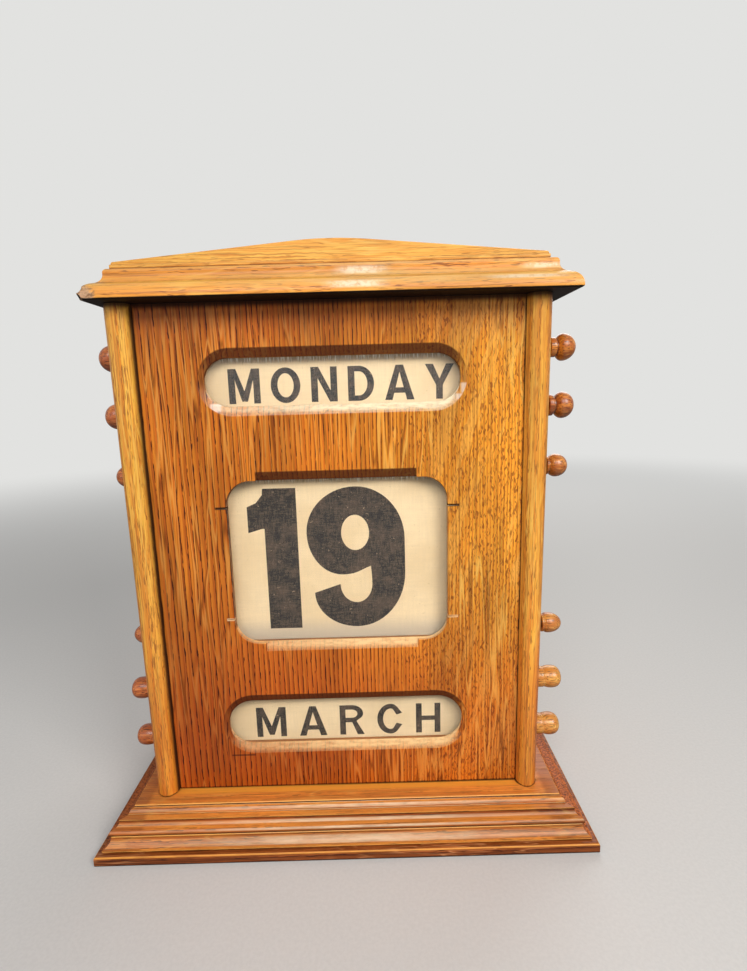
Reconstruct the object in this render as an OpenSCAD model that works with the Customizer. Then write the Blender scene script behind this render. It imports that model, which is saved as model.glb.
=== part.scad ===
// Perpetual desk calendar: an oak case on a moulded base, under a cornice and a low gable.
// Three linen scrolls pass behind three glazed windows and show the day, the date and the month.
// Each scroll is wound between an upper and a lower roller, turned by knobs outside the case.
// X is the width, Y the depth with the front towards -Y, and Z is up. The origin lies in the
// middle of the base, on its underside.

/* [Case] */
// Width over the two side boards
case_w = 254; // [240:1:280]
// Depth of a side board, from its round front edge to its back edge
case_d = 118; // [100:1:140]
// Thickness of each side board
side_t = 15; // [12:0.5:18]
// Thickness of the back panel
back_t = 8; // [5:0.5:10]
// Width of the rebate that takes each edge of the back panel
back_rebate = 8; // [6:0.5:9]
// Depth of the grooves that hold the edges of the front panel
groove_d = 4; // [2:0.5:6]

/* [Front panel] */
// How far the panel is set back from the front edges of the side boards
panel_setback = 7.4; // [6:0.1:12]
// Thickness of the panel
panel_t = 8; // [7:0.5:12]
// Thickness of the lip that stays in front of the glass
lip_t = 3.5; // [3:0.1:4.5]
// Depth of the chamfers at the windows
chamfer_d = 2.7; // [1:0.1:2.9]
// Width of the chamfers on the face of the panel
chamfer_w = 5.6; // [2:0.1:7]
// How much the chamfers narrow at the round window ends
chamfer_ease = 1.7; // [0:0.1:3]
// Width of the day window
day_win_w = 150; // [120:1:160]
// Height of the day window
day_win_h = 27.8; // [20:0.2:30]
// Height of the middle of the day window above the middle of the date window
day_rise = 110.6; // [104:0.2:120]
// Height of the soffit above the middle of the day window
top_rise = 44.8; // [36:0.2:60]
// Width of the date window
date_win_w = 134; // [110:1:150]
// Height of the date window
date_win_h = 104.2; // [90:0.2:108]
// Radius of the corners of the date window
date_win_r = 15; // [4:0.5:24]
// Height of the middle of the date window above the middle of the month window
date_rise = 108.8; // [104:0.2:120]
// How far the stopped chamfers above and below the date window end short of its sides
date_chamfer_stop = 18.7; // [15:0.1:30]
// Width of the month window
month_win_w = 152.6; // [120:0.2:160]
// Height of the month window
month_win_h = 30.7; // [20:0.1:32]
// Height of the middle of the month window above the base
month_win_z = 45.6; // [36:0.2:60]

/* [Glazing] */
// Thickness of the glass panes
glass_t = 2; // [1.5:0.1:2.2]
// How far each pane and its rebate reach beyond the window
glass_lap = 5; // [4:0.5:6]
// Width of the wooden beads that hold the panes
bead_w = 4; // [2.5:0.5:4.5]
// Thickness of the beads
bead_t = 2.2; // [1.5:0.1:2.3]

/* [Scrolls] */
// Width of the linen
linen_w = 168; // [164:1:190]
// Thickness of the flat stretch of linen
linen_t = 0.4; // [0.3:0.1:0.8]
// Radius of the linen wound on a roller
wound_r = 12.2; // [11.5:0.1:14]
// Diameter of the day rollers
day_roller_d = 21; // [15:0.5:22]
// Diameter of the date rollers
date_roller_d = 13; // [11:0.5:22]
// Diameter of the month rollers
month_roller_d = 20; // [15:0.5:22]
// How far the day rollers' axes lie beyond the edges of the day window
day_beyond = 3.7; // [0:0.1:6]
// How far the date rollers' axes lie beyond the edges of the date window
date_beyond = 1.5; // [0:0.1:6]
// How far the month rollers' axes lie beyond the edges of the month window
month_beyond = 2.45; // [0:0.05:6]
// How far the point midway between the day rollers lies below the middle of the day window
day_drop = 1; // [-1:0.1:2]
// How far the point midway between the date rollers lies below the middle of the date window
date_drop = -0.4; // [-1:0.1:1]
// How far the point midway between the month rollers lies below the middle of the month window
month_drop = 1.8; // [-1:0.1:2]
// Gap between a roller's ends and the side boards when it is in the middle
roller_gap = 3; // [2.9:0.1:5]
// How far the day rollers have slid along their bores to the right
day_slide = 2.6; // [0:0.1:2.6]
// How far the date rollers have slid along their bores to the right
date_slide = 2.6; // [0:0.1:2.6]
// How far the month rollers have slid along their bores to the right
month_slide = 0.4; // [0:0.1:2.6]

/* [Knobs] */
// Diameter of the day knobs
day_knob_d = 16.4; // [14:0.1:18]
// Diameter of the date knobs
date_knob_d = 14.6; // [14:0.1:18]
// Diameter of the month knobs
month_knob_d = 15.2; // [14:0.1:18]
// Length of the knob's ball
ball_l = 11.8; // [10:0.1:13]
// Diameter of the knob's neck
neck_d = 12.6; // [9:0.1:13.6]
// Length of the neck of the day knobs
day_neck_l = 4.4; // [1.5:0.1:8]
// Length of the neck of the date knobs
date_neck_l = 1.9; // [1.5:0.1:8]
// Length of the neck of the month knobs
month_neck_l = 5.2; // [1.5:0.1:8]
// Depth of the groove between the neck and the ball
neck_groove = 0.8; // [0.3:0.1:1]
// Width of that groove
groove_w = 0.7; // [0.4:0.1:1.2]
// Diameter of the stem that turns in the side board
stem_d = 6.95; // [5:0.05:8]
// How far a stem reaches into its roller
stem_grip = 12; // [8:0.5:20]
// Gap between a knob's neck and the side board when the roller is in the middle
knob_gap = 2.9; // [2.9:0.1:4]

/* [Base] */
// How far the base stands out beyond the side boards
base_out = 28.9; // [24:0.1:36]
// How far the base stands out in front of the side boards
base_front = 25.1; // [24:0.1:36]
// Thickness of the plinth board at the bottom
plinth_t = 6.2; // [5:0.1:12]
// Width of the ledge that the plinth leaves round the moulded board
plinth_ledge = 3.6; // [1:0.1:5]
// Radius of the plinth's upper edge
plinth_r = 1.4; // [0.5:0.1:3]
// Height of the lip under the hollow of the moulded board
lip_h = 1.2; // [0.6:0.1:3]
// Radius of the large hollow
hollow_r = 6.5; // [5.5:0.1:7]
// How far the large hollow is cut in behind the lip
hollow_in = 4.4; // [3.5:0.1:5]
// Radius of the round bead above the large hollow
bead_r = 2; // [1.5:0.1:2.5]
// How far the middle of the bead lies behind the deepest part of the hollow
bead_in = 1; // [0.5:0.1:1.5]
// How far the bead sinks into the top of the hollow
bead_sink = 0.4; // [0.1:0.1:0.8]
// Radius of the cove above the bead
cove_r = 2.9; // [2:0.1:4]
// How far the fillet stands out beyond the back of the cove
fillet_out = 0.35; // [0:0.05:0.8]
// Height of the square fillet above the cove
fillet_h = 1.3; // [0.8:0.1:3]
// Width of the flat above the fillet
flat_w = 4.55; // [2:0.05:6]
// Radius of the upper round
round_r = 3; // [2:0.1:5]
// Height of the square edge at the top of the base
top_edge_h = 1.3; // [0.5:0.1:3]

/* [Cornice] */
// How far the cornice stands out beyond the side boards, when it is in the middle
cornice_out = 8.6; // [8:0.1:16]
// How far the cornice is off the middle, to the right
cornice_shift = 2.4; // [0:0.1:3]
// How far the cornice stands out in front of the side boards
cornice_front = 9.8; // [8:0.1:16]
// Radius of the lower arris
arris_r = 1.2; // [0.5:0.1:2]
// Height at which the large round starts
nose_h = 1.4; // [1.3:0.1:3]
// Radius of the large round
ovolo_r = 8.5; // [7:0.1:10]
// Radius of the cove
crown_cove_r = 5.4; // [4:0.1:6]
// How far the back of the cove lies in from the nose
crown_in = 10.3; // [9:0.1:12]
// Height of the square fillet over the cove
crown_fillet_h = 0.9; // [0.2:0.1:2]
// Radius of the upper round
crown_round_r = 2.4; // [2:0.1:5]
// How far the gable is set in from the ends of the cornice
gable_inset = 13; // [12:0.1:30]
// How far the gable is set back from the front of the cornice
gable_setback = 14.8; // [12:0.1:30]
// How far the gable is off the middle, to the right
gable_shift = 1.6; // [0:0.1:3]
// Height of the square band round the gable's foot
gable_band_h = 2.7; // [2:0.1:2.8]
// How far the gable is set back over that band
gable_step = 0.7; // [0.3:0.1:2]
// Height of the gable's ends
gable_end_h = 4.2; // [4.1:0.1:12]
// Height of the gable's ridge
gable_h = 13.9; // [13:0.1:40]
// Radius of the round along the gable's ridge
apex_r = 240; // [150:10:300]
// Radius of the gable's corners
gable_r = 1.2; // [0.5:0.1:1.3]

/* [Fastening] */
// Length of the triangular blocks glued inside the corners
block_l = 50; // [20:1:56]
// Width of the corner blocks
block_w = 14; // [8:0.5:18]
// Diameter of the back panel's screws
back_screw_d = 3.5; // [3:0.1:4]
// Length of the back panel's screws
back_screw_l = 22; // [12:1:30]
// Distance of the outer back screws from the panel's ends
back_screw_end = 24; // [15:1:60]
// Number of screws along each edge of the back panel
back_screw_n = 4; // [2:1:6]
// Diameter of the base screws
base_screw_d = 4.5; // [4:0.1:5]
// Length of the base screws
base_screw_l = 44; // [35:1:46]
// Distance of the front base screws from the front edge of the case
base_screw_front = 50; // [45:1:60]
// Distance of the rear base screws from the back edge of the case
base_screw_back = 20; // [12:1:40]

/* [Clearances] */
// Radial running clearance of a knob stem in its bore
stem_clear = 0.075; // [0.02:0.005:0.1]
// Gap between the flat linen and the wound linen
scroll_clear = 0.3; // [0.2:0.1:0.5]
// Gap between the back of the front panel and the linen
linen_gap = 0.7; // [0.3:0.1:2]
// Gap round the edges of panes, panels and beads in their recesses
fit_clear = 0.2; // [0.1:0.05:0.5]
// Glue gap round stems and screws
glue_clear = 0.05; // [0.02:0.01:0.1]

/* [Hidden] */
$fn = 96;
apex_fn = 960;     // the round along the ridge is so wide that it takes more steps

over = 1;          // how far a cutter runs past the face that it cuts
date_win_z = month_win_z + date_rise;
day_win_z = date_win_z + day_rise;
case_h = day_win_z + top_rise;                  // height of the side boards and the panels
half_w = case_w / 2;
inner_w = case_w - 2 * side_t;
base_w = case_w + 2 * base_out;
base_d = case_d + base_front;
front_y = -base_d / 2 + base_front;             // front edges of the side boards
back_y = front_y + case_d;
panel_y = front_y + panel_setback;              // face of the front panel
panel_back_y = panel_y + panel_t;

// moulded base board, seen in section from its outermost lip at 0 inwards
bead_x = -(hollow_in + bead_in);
bead_z = lip_h + hollow_r - bead_sink + bead_r;
cove_z = bead_z + bead_r + cove_r;              // top of the cove
fillet_x = bead_x - cove_r + fillet_out;
flat_z = cove_z + fillet_h;
round_x = fillet_x - flat_w;
base_t = flat_z + round_r + top_edge_h;
top_z = plinth_t + base_t;                      // top of the base, where the case stands
base_run = -round_x + round_r + over;           // how far the moulding reaches in

// cornice, seen in section from its nose at 0 inwards
crown_x = -crown_in;                            // back of the cove
crown_cove_x = crown_x + crown_cove_r;          // middle of the cove, which runs into the large round
meet_reach = ovolo_r + crown_cove_r;
meet_run = crown_cove_x + ovolo_r;
meet_rise = sqrt(meet_reach * meet_reach - meet_run * meet_run);
crown_cove_z = nose_h + meet_rise;
meet_x = -ovolo_r + meet_run * ovolo_r / meet_reach;
meet_z = nose_h + meet_rise * ovolo_r / meet_reach;
cornice_t = crown_cove_z + crown_fillet_h + crown_round_r;
cornice_run = crown_in + crown_round_r + over;
soffit_z = top_z + case_h;
cornice_w = case_w + 2 * cornice_out;
cornice_d = case_d + cornice_front;

// scrolls
axis_y = panel_back_y + linen_gap + linen_t + scroll_clear + wound_r;
linen_y = panel_back_y + linen_gap;             // face of the flat linen
roller_l = inner_w - 2 * roller_gap;
knob_face = half_w + knob_gap;                  // inner face of a knob's neck
bore_d = stem_d + 2 * stem_clear;

day_span = day_win_h + 2 * day_beyond;          // distance between the two day rollers
date_span = date_win_h + 2 * date_beyond;
month_span = month_win_h + 2 * month_beyond;
day_z = top_z + day_win_z;
date_z = top_z + date_win_z;
month_z = top_z + month_win_z;
day_scroll_z = day_z - day_drop;                // half-way between the two day rollers
date_scroll_z = date_z - date_drop;
month_scroll_z = month_z - month_drop;
roller_z = [
    day_scroll_z + day_span / 2, day_scroll_z - day_span / 2,
    date_scroll_z + date_span / 2, date_scroll_z - date_span / 2,
    month_scroll_z + month_span / 2, month_scroll_z - month_span / 2
];
roller_x = [day_slide, day_slide, date_slide, date_slide, month_slide, month_slide];

// screws
head_d = 2;        // diameter of a screw's head, as a multiple of its shank's
head_h = 0.6;      // height of the countersink, as a multiple of the shank's diameter
slot_h = 0.25;     // depth of the slot, as a multiple of the shank's diameter
slot_w = 0.25;     // width of the slot, as a multiple of the shank's diameter
head_sink = 0.3;   // how far a head lies below the face
back_screw_x = half_w - side_t + back_rebate / 2;
back_screw_step = (case_h - 2 * back_screw_end) / (back_screw_n - 1);
base_screw_x = half_w - side_t / 2;
base_screw_ys = [front_y + base_screw_front, back_y - base_screw_back];

// ---- mouldings: the moulded edges of a board in section, outer edge at x = 0, underside at y = 0

module plinth_edge() {
    difference() {
        translate([-base_run, 0])
            square([base_run, plinth_t]);
        corner_cut(0, plinth_t, plinth_r, 1);
    }
}

// What a round of radius r takes off an outer corner at (x, y); up is 1 for an upper corner
module corner_cut(x, y, r, up) {
    difference() {
        translate([x - r, up > 0 ? y - r : y - over])
            square([r + over, r + over]);
        translate([x - r, y - up * r])
            circle(r);
    }
}

module base_edge() {
    difference() {
        translate([-base_run, 0])
            square([base_run, base_t]);
        // large hollow over the lip
        translate([0, lip_h])
            intersection() {
                translate([-hollow_in, 0])
                    square([hollow_in + over, bead_z - bead_r - lip_h]);
                translate([hollow_r - hollow_in, bead_z - bead_r - lip_h])
                    circle(hollow_r);
            }
        // room in front of the bead, which stands proud again
        difference() {
            translate([bead_x, bead_z - bead_r])
                square([-bead_x + over, 2 * bead_r]);
            translate([bead_x, bead_z])
                circle(bead_r);
        }
        // cove between the bead and the fillet
        translate([bead_x, cove_z])
            circle(cove_r);
        translate([bead_x, bead_z + bead_r])
            square([-bead_x + over, cove_r]);
        // everything in front of the fillet
        translate([fillet_x, cove_z])
            square([-fillet_x + over, fillet_h]);
        // everything over the flat
        translate([round_x, flat_z])
            square([-round_x + over, base_t]);
        corner_cut(round_x, flat_z + round_r, round_r, 1);
        translate([round_x - round_r, flat_z + round_r])
            square([round_r + over, top_edge_h + over]);
    }
}

module cornice_edge() {
    difference() {
        translate([-cornice_run, 0])
            square([cornice_run, cornice_t]);
        corner_cut(0, 0, arris_r, -1);
        // room in front of the large round
        difference() {
            translate([meet_x, nose_h])
                square([-meet_x + over, meet_z - nose_h]);
            translate([-ovolo_r, nose_h])
                circle(ovolo_r);
        }
        // cove above the large round
        translate([meet_x, meet_z])
            square([-meet_x + over, crown_cove_z - meet_z]);
        translate([crown_cove_x, crown_cove_z])
            circle(crown_cove_r);
        // everything in front of the fillet
        translate([crown_x, crown_cove_z])
            square([-crown_x + over, cornice_t]);
        corner_cut(crown_x, cornice_t, crown_round_r, 1);
    }
}

// A board with its front and both ends moulded, mitred at the corners, and a square back edge.
// The child is the moulding's section, and run is how far that section reaches in.
module moulded_board(w, d, t, run) {
    intersection() {
        rotate([90, 0, 0])
            translate([0, 0, -d / 2])
                linear_extrude(d)
                    union() {
                        for (side = [0, 1])
                            mirror([side, 0])
                                translate([w / 2, 0])
                                    children();
                        translate([-w / 2 + run - over / 2, 0])
                            square([w - 2 * run + over, t]);
                    }
        rotate([90, 0, 90])
            translate([0, 0, -w / 2])
                linear_extrude(w)
                    union() {
                        translate([-d / 2, 0])
                            mirror([1, 0])
                                children();
                        translate([-d / 2 + run - over / 2, 0])
                            square([d - run + over / 2, t]);
                    }
    }
}

module plinth_board() {
    color("saddlebrown")
        difference() {
            moulded_board(base_w, base_d, plinth_t, base_run)
                plinth_edge();
            base_screw_holes();
        }
}

module base_board() {
    color("peru")
        difference() {
            translate([0, plinth_ledge / 2, plinth_t])
                moulded_board(base_w - 2 * plinth_ledge, base_d - plinth_ledge, base_t, base_run)
                    base_edge();
            base_screw_holes();
        }
}

module cornice_board() {
    color("goldenrod")
        translate([cornice_shift, back_y - cornice_d / 2, soffit_z])
            moulded_board(cornice_w, cornice_d, cornice_t, cornice_run)
                cornice_edge();
}

module gable_block() {
    w = cornice_w / 2 - gable_inset;
    d = cornice_d - gable_setback;
    color("goldenrod")
        translate([gable_shift, back_y, soffit_z + cornice_t]) {
            translate([-w, -d, 0])
                cube([2 * w, d, gable_band_h]);
            rotate([90, 0, 0])
                linear_extrude(d - gable_step)
                    gable_outline(w - gable_step);
        }
}

// Half width w at the ends, and two slopes that run into the round along the ridge
module gable_outline(w) {
    centre = gable_h - apex_r;                      // height of the middle of that round
    corner = [w, gable_end_h - centre];
    turn = atan2(corner.y, corner.x) + acos(apex_r / norm(corner));
    touch = apex_r * [cos(turn), sin(turn)];        // where a slope meets the round
    slope = 90 - turn;
    arris = [w - gable_r, corner.y + gable_r * (tan(slope) - 1 / cos(slope))];
    brow = arris + gable_r * [sin(slope), cos(slope)];
    translate([0, centre])
        difference() {
            union() {
                polygon([
                    [-w, -centre], [w, -centre], corner, touch,
                    [-touch.x, touch.y], [-corner.x, corner.y]
                ]);
                intersection() {
                    circle(apex_r, $fn = apex_fn);
                    translate([-touch.x, touch.y - over])
                        square([2 * touch.x, apex_r]);
                }
            }
            // round arris between an end and its slope
            for (side = [0, 1])
                mirror([side, 0])
                    difference() {
                        polygon([
                            arris, [w + over, arris.y], [w + over, corner.y + over],
                            brow + over * [sin(slope), cos(slope)], brow
                        ]);
                        translate(arris)
                            circle(gable_r);
                    }
        }
}

// ---- side boards and panels

// A board standing at the right-hand side
module side_board() {
    nose_r = side_t / 2;
    difference() {
        union() {
            translate([half_w - nose_r, front_y + nose_r, top_z])
                cylinder(h = case_h, r = nose_r);
            translate([half_w - side_t, front_y + nose_r, top_z])
                cube([side_t, case_d - nose_r, case_h]);
        }
        // groove for the front panel
        translate([half_w - side_t - over, panel_y - fit_clear, top_z - over])
            cube([groove_d + over, panel_t + 2 * fit_clear, case_h + 2 * over]);
        // rebate for the back panel
        translate([half_w - side_t - over, back_y - back_t, top_z - over])
            cube([back_rebate + over, back_t + over, case_h + 2 * over]);
        // bores for the knob stems
        for (z = roller_z)
            translate([half_w - side_t - over, axis_y, z])
                rotate([0, 90, 0])
                    cylinder(h = side_t + 2 * over, d = bore_d);
        back_screw_holes();
        base_screw_holes();
    }
}

module right_side_board() {
    color("sandybrown")
        side_board();
}

module left_side_board() {
    color("sandybrown")
        mirror([1, 0, 0])
            side_board();
}

// A flat slot with round ends, in the XY plane
module slot_shape(w, h) {
    square([w - h, h], center = true);
    for (side = [-1, 1])
        translate([side * (w - h) / 2, 0])
            circle(d = h);
}

// A flat rectangle with round corners, in the XY plane
module rounded_shape(w, h, r) {
    square([w - 2 * r, h], center = true);
    square([w, h - 2 * r], center = true);
    for (x = [-1, 1], y = [-1, 1])
        translate([x * (w / 2 - r), y * (h / 2 - r)])
            circle(r);
}

// Lays a flat shape on the face of the front panel, its thickness running inwards
module on_panel(z) {
    translate([0, panel_y, z])
        rotate([-90, 0, 0])
            children();
}

// The wedge that a chamfer of length l takes off the panel, above and below a window of height h
module chamfer_bar(l, h) {
    deep = h / 2;
    wide = deep + chamfer_w;
    ahead = over / chamfer_d * chamfer_w;       // the chamfer's slope, carried on in front of the face
    rotate([90, 0, 90])
        translate([0, 0, -l / 2])
            linear_extrude(l)
                polygon([
                    [-wide - ahead, -over], [wide + ahead, -over],
                    [deep, chamfer_d], [-deep, chamfer_d]
                ]);
}

module slot_window(w, h, z) {
    on_panel(z) {
        translate([0, 0, -over])
            linear_extrude(panel_t + 2 * over)
                slot_shape(w, h);
        // chamfer: a bar between two cones
        chamfer_bar(w - h - 2 * chamfer_ease, h);
        for (side = [-1, 1])
            translate([side * ((w - h) / 2 - chamfer_ease), 0, -over])
                cylinder(
                    h = chamfer_d + over,
                    r1 = h / 2 + chamfer_w + over / chamfer_d * chamfer_w,
                    r2 = h / 2
                );
    }
}

module date_window() {
    on_panel(date_z) {
        translate([0, 0, -over])
            linear_extrude(panel_t + 2 * over)
                rounded_shape(date_win_w, date_win_h, date_win_r);
        chamfer_bar(date_win_w - 2 * date_chamfer_stop, date_win_h);
    }
}

// The square recess behind a window, which takes the pane and its beads
module glass_rebate(w, h, z) {
    translate([-w / 2 - glass_lap, panel_y + lip_t, z - h / 2 - glass_lap])
        cube([w + 2 * glass_lap, panel_t, h + 2 * glass_lap]);
}

module front_panel() {
    w = inner_w + 2 * groove_d - 2 * fit_clear;
    color("chocolate")
        difference() {
            translate([-w / 2, panel_y, top_z])
                cube([w, panel_t, case_h]);
            slot_window(day_win_w, day_win_h, day_z);
            date_window();
            slot_window(month_win_w, month_win_h, month_z);
            glass_rebate(day_win_w, day_win_h, day_z);
            glass_rebate(date_win_w, date_win_h, date_z);
            glass_rebate(month_win_w, month_win_h, month_z);
        }
}

module back_panel() {
    w = inner_w + 2 * back_rebate - 2 * fit_clear;
    color("burlywood")
        difference() {
            translate([-w / 2, back_y - back_t, top_z])
                cube([w, back_t, case_h]);
            back_screw_holes();
        }
}

// Triangular blocks in the four corners between the boards, behind the scrolls
module corner_blocks() {
    color("burlywood")
        for (side = [0, 1])
            mirror([side, 0, 0])
                for (top = [0, 1])
                    translate([inner_w / 2, back_y - back_t - block_l, top ? soffit_z : top_z])
                        mirror([0, 0, top])
                            rotate([-90, 0, 0])
                                linear_extrude(block_l)
                                    polygon([[0, 0], [-block_w, 0], [0, -block_w]]);
}

// ---- screws, along +Z from the head's face at z = 0

module screw_body(d, l, gap) {
    cylinder(h = l + gap, d = d + 2 * gap);
    cylinder(h = head_h * d, d1 = head_d * d + 2 * gap, d2 = d + 2 * gap);
}

module wood_screw(d, l) {
    difference() {
        screw_body(d, l, 0);
        translate([-head_d * d, -slot_w * d / 2, -over])
            cube([2 * head_d * d, slot_w * d, slot_h * d + over]);
    }
}

// Places its children at the head of every back screw, pointing into the case
module at_back_screws() {
    for (side = [-1, 1], i = [0 : back_screw_n - 1])
        translate([side * back_screw_x, back_y - head_sink, top_z + back_screw_end + i * back_screw_step])
            rotate([90, 0, 0])
                children();
}

// Places its children at the head of every base screw, pointing up
module at_base_screws() {
    for (side = [-1, 1], y = base_screw_ys)
        translate([side * base_screw_x, y, head_sink])
            children();
}

module screw_hole(d, l) {
    screw_body(d, l, glue_clear);
    translate([0, 0, -head_sink - over])
        cylinder(h = head_sink + over, d = head_d * d + 2 * glue_clear);
}

module back_screw_holes() {
    at_back_screws()
        screw_hole(back_screw_d, back_screw_l);
}

module base_screw_holes() {
    at_base_screws()
        screw_hole(base_screw_d, base_screw_l);
}

module back_screws() {
    color("darkgoldenrod")
        at_back_screws()
            wood_screw(back_screw_d, back_screw_l);
}

module base_screws() {
    color("dimgray")
        at_base_screws()
            wood_screw(base_screw_d, base_screw_l);
}

// ---- glazing

module pane(w, h, z) {
    lap = glass_lap - fit_clear;
    color("lightcyan", 0.4)
        translate([-w / 2 - lap, panel_y + lip_t, z - h / 2 - lap])
            cube([w + 2 * lap, glass_t, h + 2 * lap]);
}

// Four wooden beads behind a pane
module glazing_beads(w, h, z) {
    lap = glass_lap - fit_clear;
    upright_h = h + 2 * lap - 2 * bead_w - 2 * fit_clear;
    color("sienna")
        translate([0, panel_y + lip_t + glass_t, z]) {
            for (side = [0, 1])
                mirror([0, 0, side])
                    translate([-w / 2 - lap, 0, h / 2 + lap - bead_w])
                        cube([w + 2 * lap, bead_t, bead_w]);
            for (side = [0, 1])
                mirror([side, 0, 0])
                    translate([w / 2 + lap - bead_w, 0, -upright_h / 2])
                        cube([bead_w, bead_t, upright_h]);
        }
}

// ---- scrolls

// The flat stretch of linen between two rollers
module flat_linen(span, z) {
    color("ivory")
        translate([-linen_w / 2, linen_y, z - span / 2])
            cube([linen_w, linen_t, span]);
}

// Turns its children from +Z to +X, on the axis of roller i
module on_axis(i) {
    translate([roller_x[i], axis_y, roller_z[i]])
        rotate([0, 90, 0])
            children();
}

module roller(i, d) {
    color("tan")
        on_axis(i)
            difference() {
                cylinder(h = roller_l, d = d, center = true);
                for (side = [0, 1])
                    mirror([0, 0, side])
                        translate([0, 0, roller_l / 2 - stem_grip - over])
                            cylinder(h = stem_grip + 2 * over, d = stem_d + 2 * glue_clear);
            }
}

module wound_linen(i, d) {
    color("antiquewhite")
        on_axis(i)
            difference() {
                cylinder(h = linen_w, r = wound_r, center = true);
                cylinder(h = linen_w + 2 * over, d = d, center = true);
            }
}

// A turned knob of diameter d on a neck of length neck_l, and its stem. side is 1 at the right-hand
// side board and -1 at the left.
module knob(i, side, d, neck_l) {
    ball_r = d / 2;
    ball_z = neck_l + ball_l - ball_r;          // middle of the ball
    stem_l = knob_face - roller_l / 2 + stem_grip;
    color("sienna")
        on_axis(i)
            mirror([0, 0, side > 0 ? 0 : 1])
                translate([0, 0, knob_face]) {
                    cylinder(h = neck_l - groove_w, d = neck_d);
                    cylinder(h = neck_l, d = neck_d - 2 * neck_groove);
                    rotate_extrude()
                        intersection() {
                            translate([0, ball_z])
                                circle(ball_r);
                            translate([0, neck_l])
                                square([ball_r, ball_l + over]);
                        }
                    translate([0, 0, -stem_l])
                        cylinder(h = stem_l + over, d = stem_d);
                }
}

plinth_board();
base_board();
left_side_board();
right_side_board();
front_panel();
back_panel();
cornice_board();
gable_block();
corner_blocks();
back_screws();
base_screws();
pane(day_win_w, day_win_h, day_z);  // day_glass
pane(date_win_w, date_win_h, date_z);  // date_glass
pane(month_win_w, month_win_h, month_z);  // month_glass
glazing_beads(day_win_w, day_win_h, day_z);  // day_glazing_beads
glazing_beads(date_win_w, date_win_h, date_z);  // date_glazing_beads
glazing_beads(month_win_w, month_win_h, month_z);  // month_glazing_beads
flat_linen(day_span, day_scroll_z);  // day_linen
flat_linen(date_span, date_scroll_z);  // date_linen
flat_linen(month_span, month_scroll_z);  // month_linen
roller(0, day_roller_d);  // day_upper_roller
roller(1, day_roller_d);  // day_lower_roller
roller(2, date_roller_d);  // date_upper_roller
roller(3, date_roller_d);  // date_lower_roller
roller(4, month_roller_d);  // month_upper_roller
roller(5, month_roller_d);  // month_lower_roller
wound_linen(0, day_roller_d);  // day_upper_wound_linen
wound_linen(1, day_roller_d);  // day_lower_wound_linen
wound_linen(2, date_roller_d);  // date_upper_wound_linen
wound_linen(3, date_roller_d);  // date_lower_wound_linen
wound_linen(4, month_roller_d);  // month_upper_wound_linen
wound_linen(5, month_roller_d);  // month_lower_wound_linen
knob(0, -1, day_knob_d, day_neck_l);  // day_upper_left_knob
knob(0, 1, day_knob_d, day_neck_l);  // day_upper_right_knob
knob(1, -1, day_knob_d, day_neck_l);  // day_lower_left_knob
knob(1, 1, day_knob_d, day_neck_l);  // day_lower_right_knob
knob(2, -1, date_knob_d, date_neck_l);  // date_upper_left_knob
knob(2, 1, date_knob_d, date_neck_l);  // date_upper_right_knob
knob(3, -1, date_knob_d, date_neck_l);  // date_lower_left_knob
knob(3, 1, date_knob_d, date_neck_l);  // date_lower_right_knob
knob(4, -1, month_knob_d, month_neck_l);  // month_upper_left_knob
knob(4, 1, month_knob_d, month_neck_l);  // month_upper_right_knob
knob(5, -1, month_knob_d, month_neck_l);  // month_lower_left_knob
knob(5, 1, month_knob_d, month_neck_l);  // month_lower_right_knob
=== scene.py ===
import math

import bmesh
import bpy
from mathutils import Matrix, Vector, noise


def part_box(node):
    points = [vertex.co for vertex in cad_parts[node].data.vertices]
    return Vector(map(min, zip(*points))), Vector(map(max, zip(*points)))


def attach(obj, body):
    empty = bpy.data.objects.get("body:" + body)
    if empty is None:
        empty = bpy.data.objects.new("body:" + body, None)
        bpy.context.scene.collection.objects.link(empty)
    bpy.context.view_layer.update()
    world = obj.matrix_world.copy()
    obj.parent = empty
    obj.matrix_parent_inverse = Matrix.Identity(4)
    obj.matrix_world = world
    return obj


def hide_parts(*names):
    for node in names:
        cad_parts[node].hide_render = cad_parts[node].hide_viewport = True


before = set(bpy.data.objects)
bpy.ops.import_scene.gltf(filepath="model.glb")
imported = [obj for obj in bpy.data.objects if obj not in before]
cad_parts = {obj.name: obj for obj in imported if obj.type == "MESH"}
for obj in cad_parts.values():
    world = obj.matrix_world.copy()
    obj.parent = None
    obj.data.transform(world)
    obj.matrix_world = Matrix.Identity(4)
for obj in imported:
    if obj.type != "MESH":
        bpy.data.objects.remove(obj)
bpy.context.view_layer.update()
mm = 0.001
scene = bpy.context.scene


# camera: where it stands, how it is turned, and its focal length in pixels of a 747 x 971 render
cameraLook = {
    "place": (21.81, -347.6, 282.71),
    "turn": 0.0018,
    "down": 0.1752,
    "roll": -0.0268,
    "focal": 520.96,
    "longSide": 971,
    "sensor": 36.0,
}


def makeCamera():
    look = cameraLook
    data = bpy.data.cameras.new("camera")
    data.sensor_width = look["sensor"]
    data.lens = look["focal"] * look["sensor"] / look["longSide"]
    data.clip_start = 0.01
    camera = bpy.data.objects.new("camera", data)
    scene.collection.objects.link(camera)
    turn, down, roll = look["turn"], look["down"], look["roll"]
    forward = Vector((math.sin(turn) * math.cos(down), math.cos(turn) * math.cos(down), -math.sin(down)))
    right = Vector((math.cos(turn), -math.sin(turn), 0))
    up = right.cross(forward)
    rolledRight = right * math.cos(roll) + up * math.sin(roll)
    rolledUp = up * math.cos(roll) - right * math.sin(roll)
    axes = Matrix((rolledRight, rolledUp, -forward)).transposed()
    camera.matrix_world = Matrix.Translation(Vector(look["place"]) * mm) @ axes.to_4x4()
    scene.camera = camera


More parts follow.
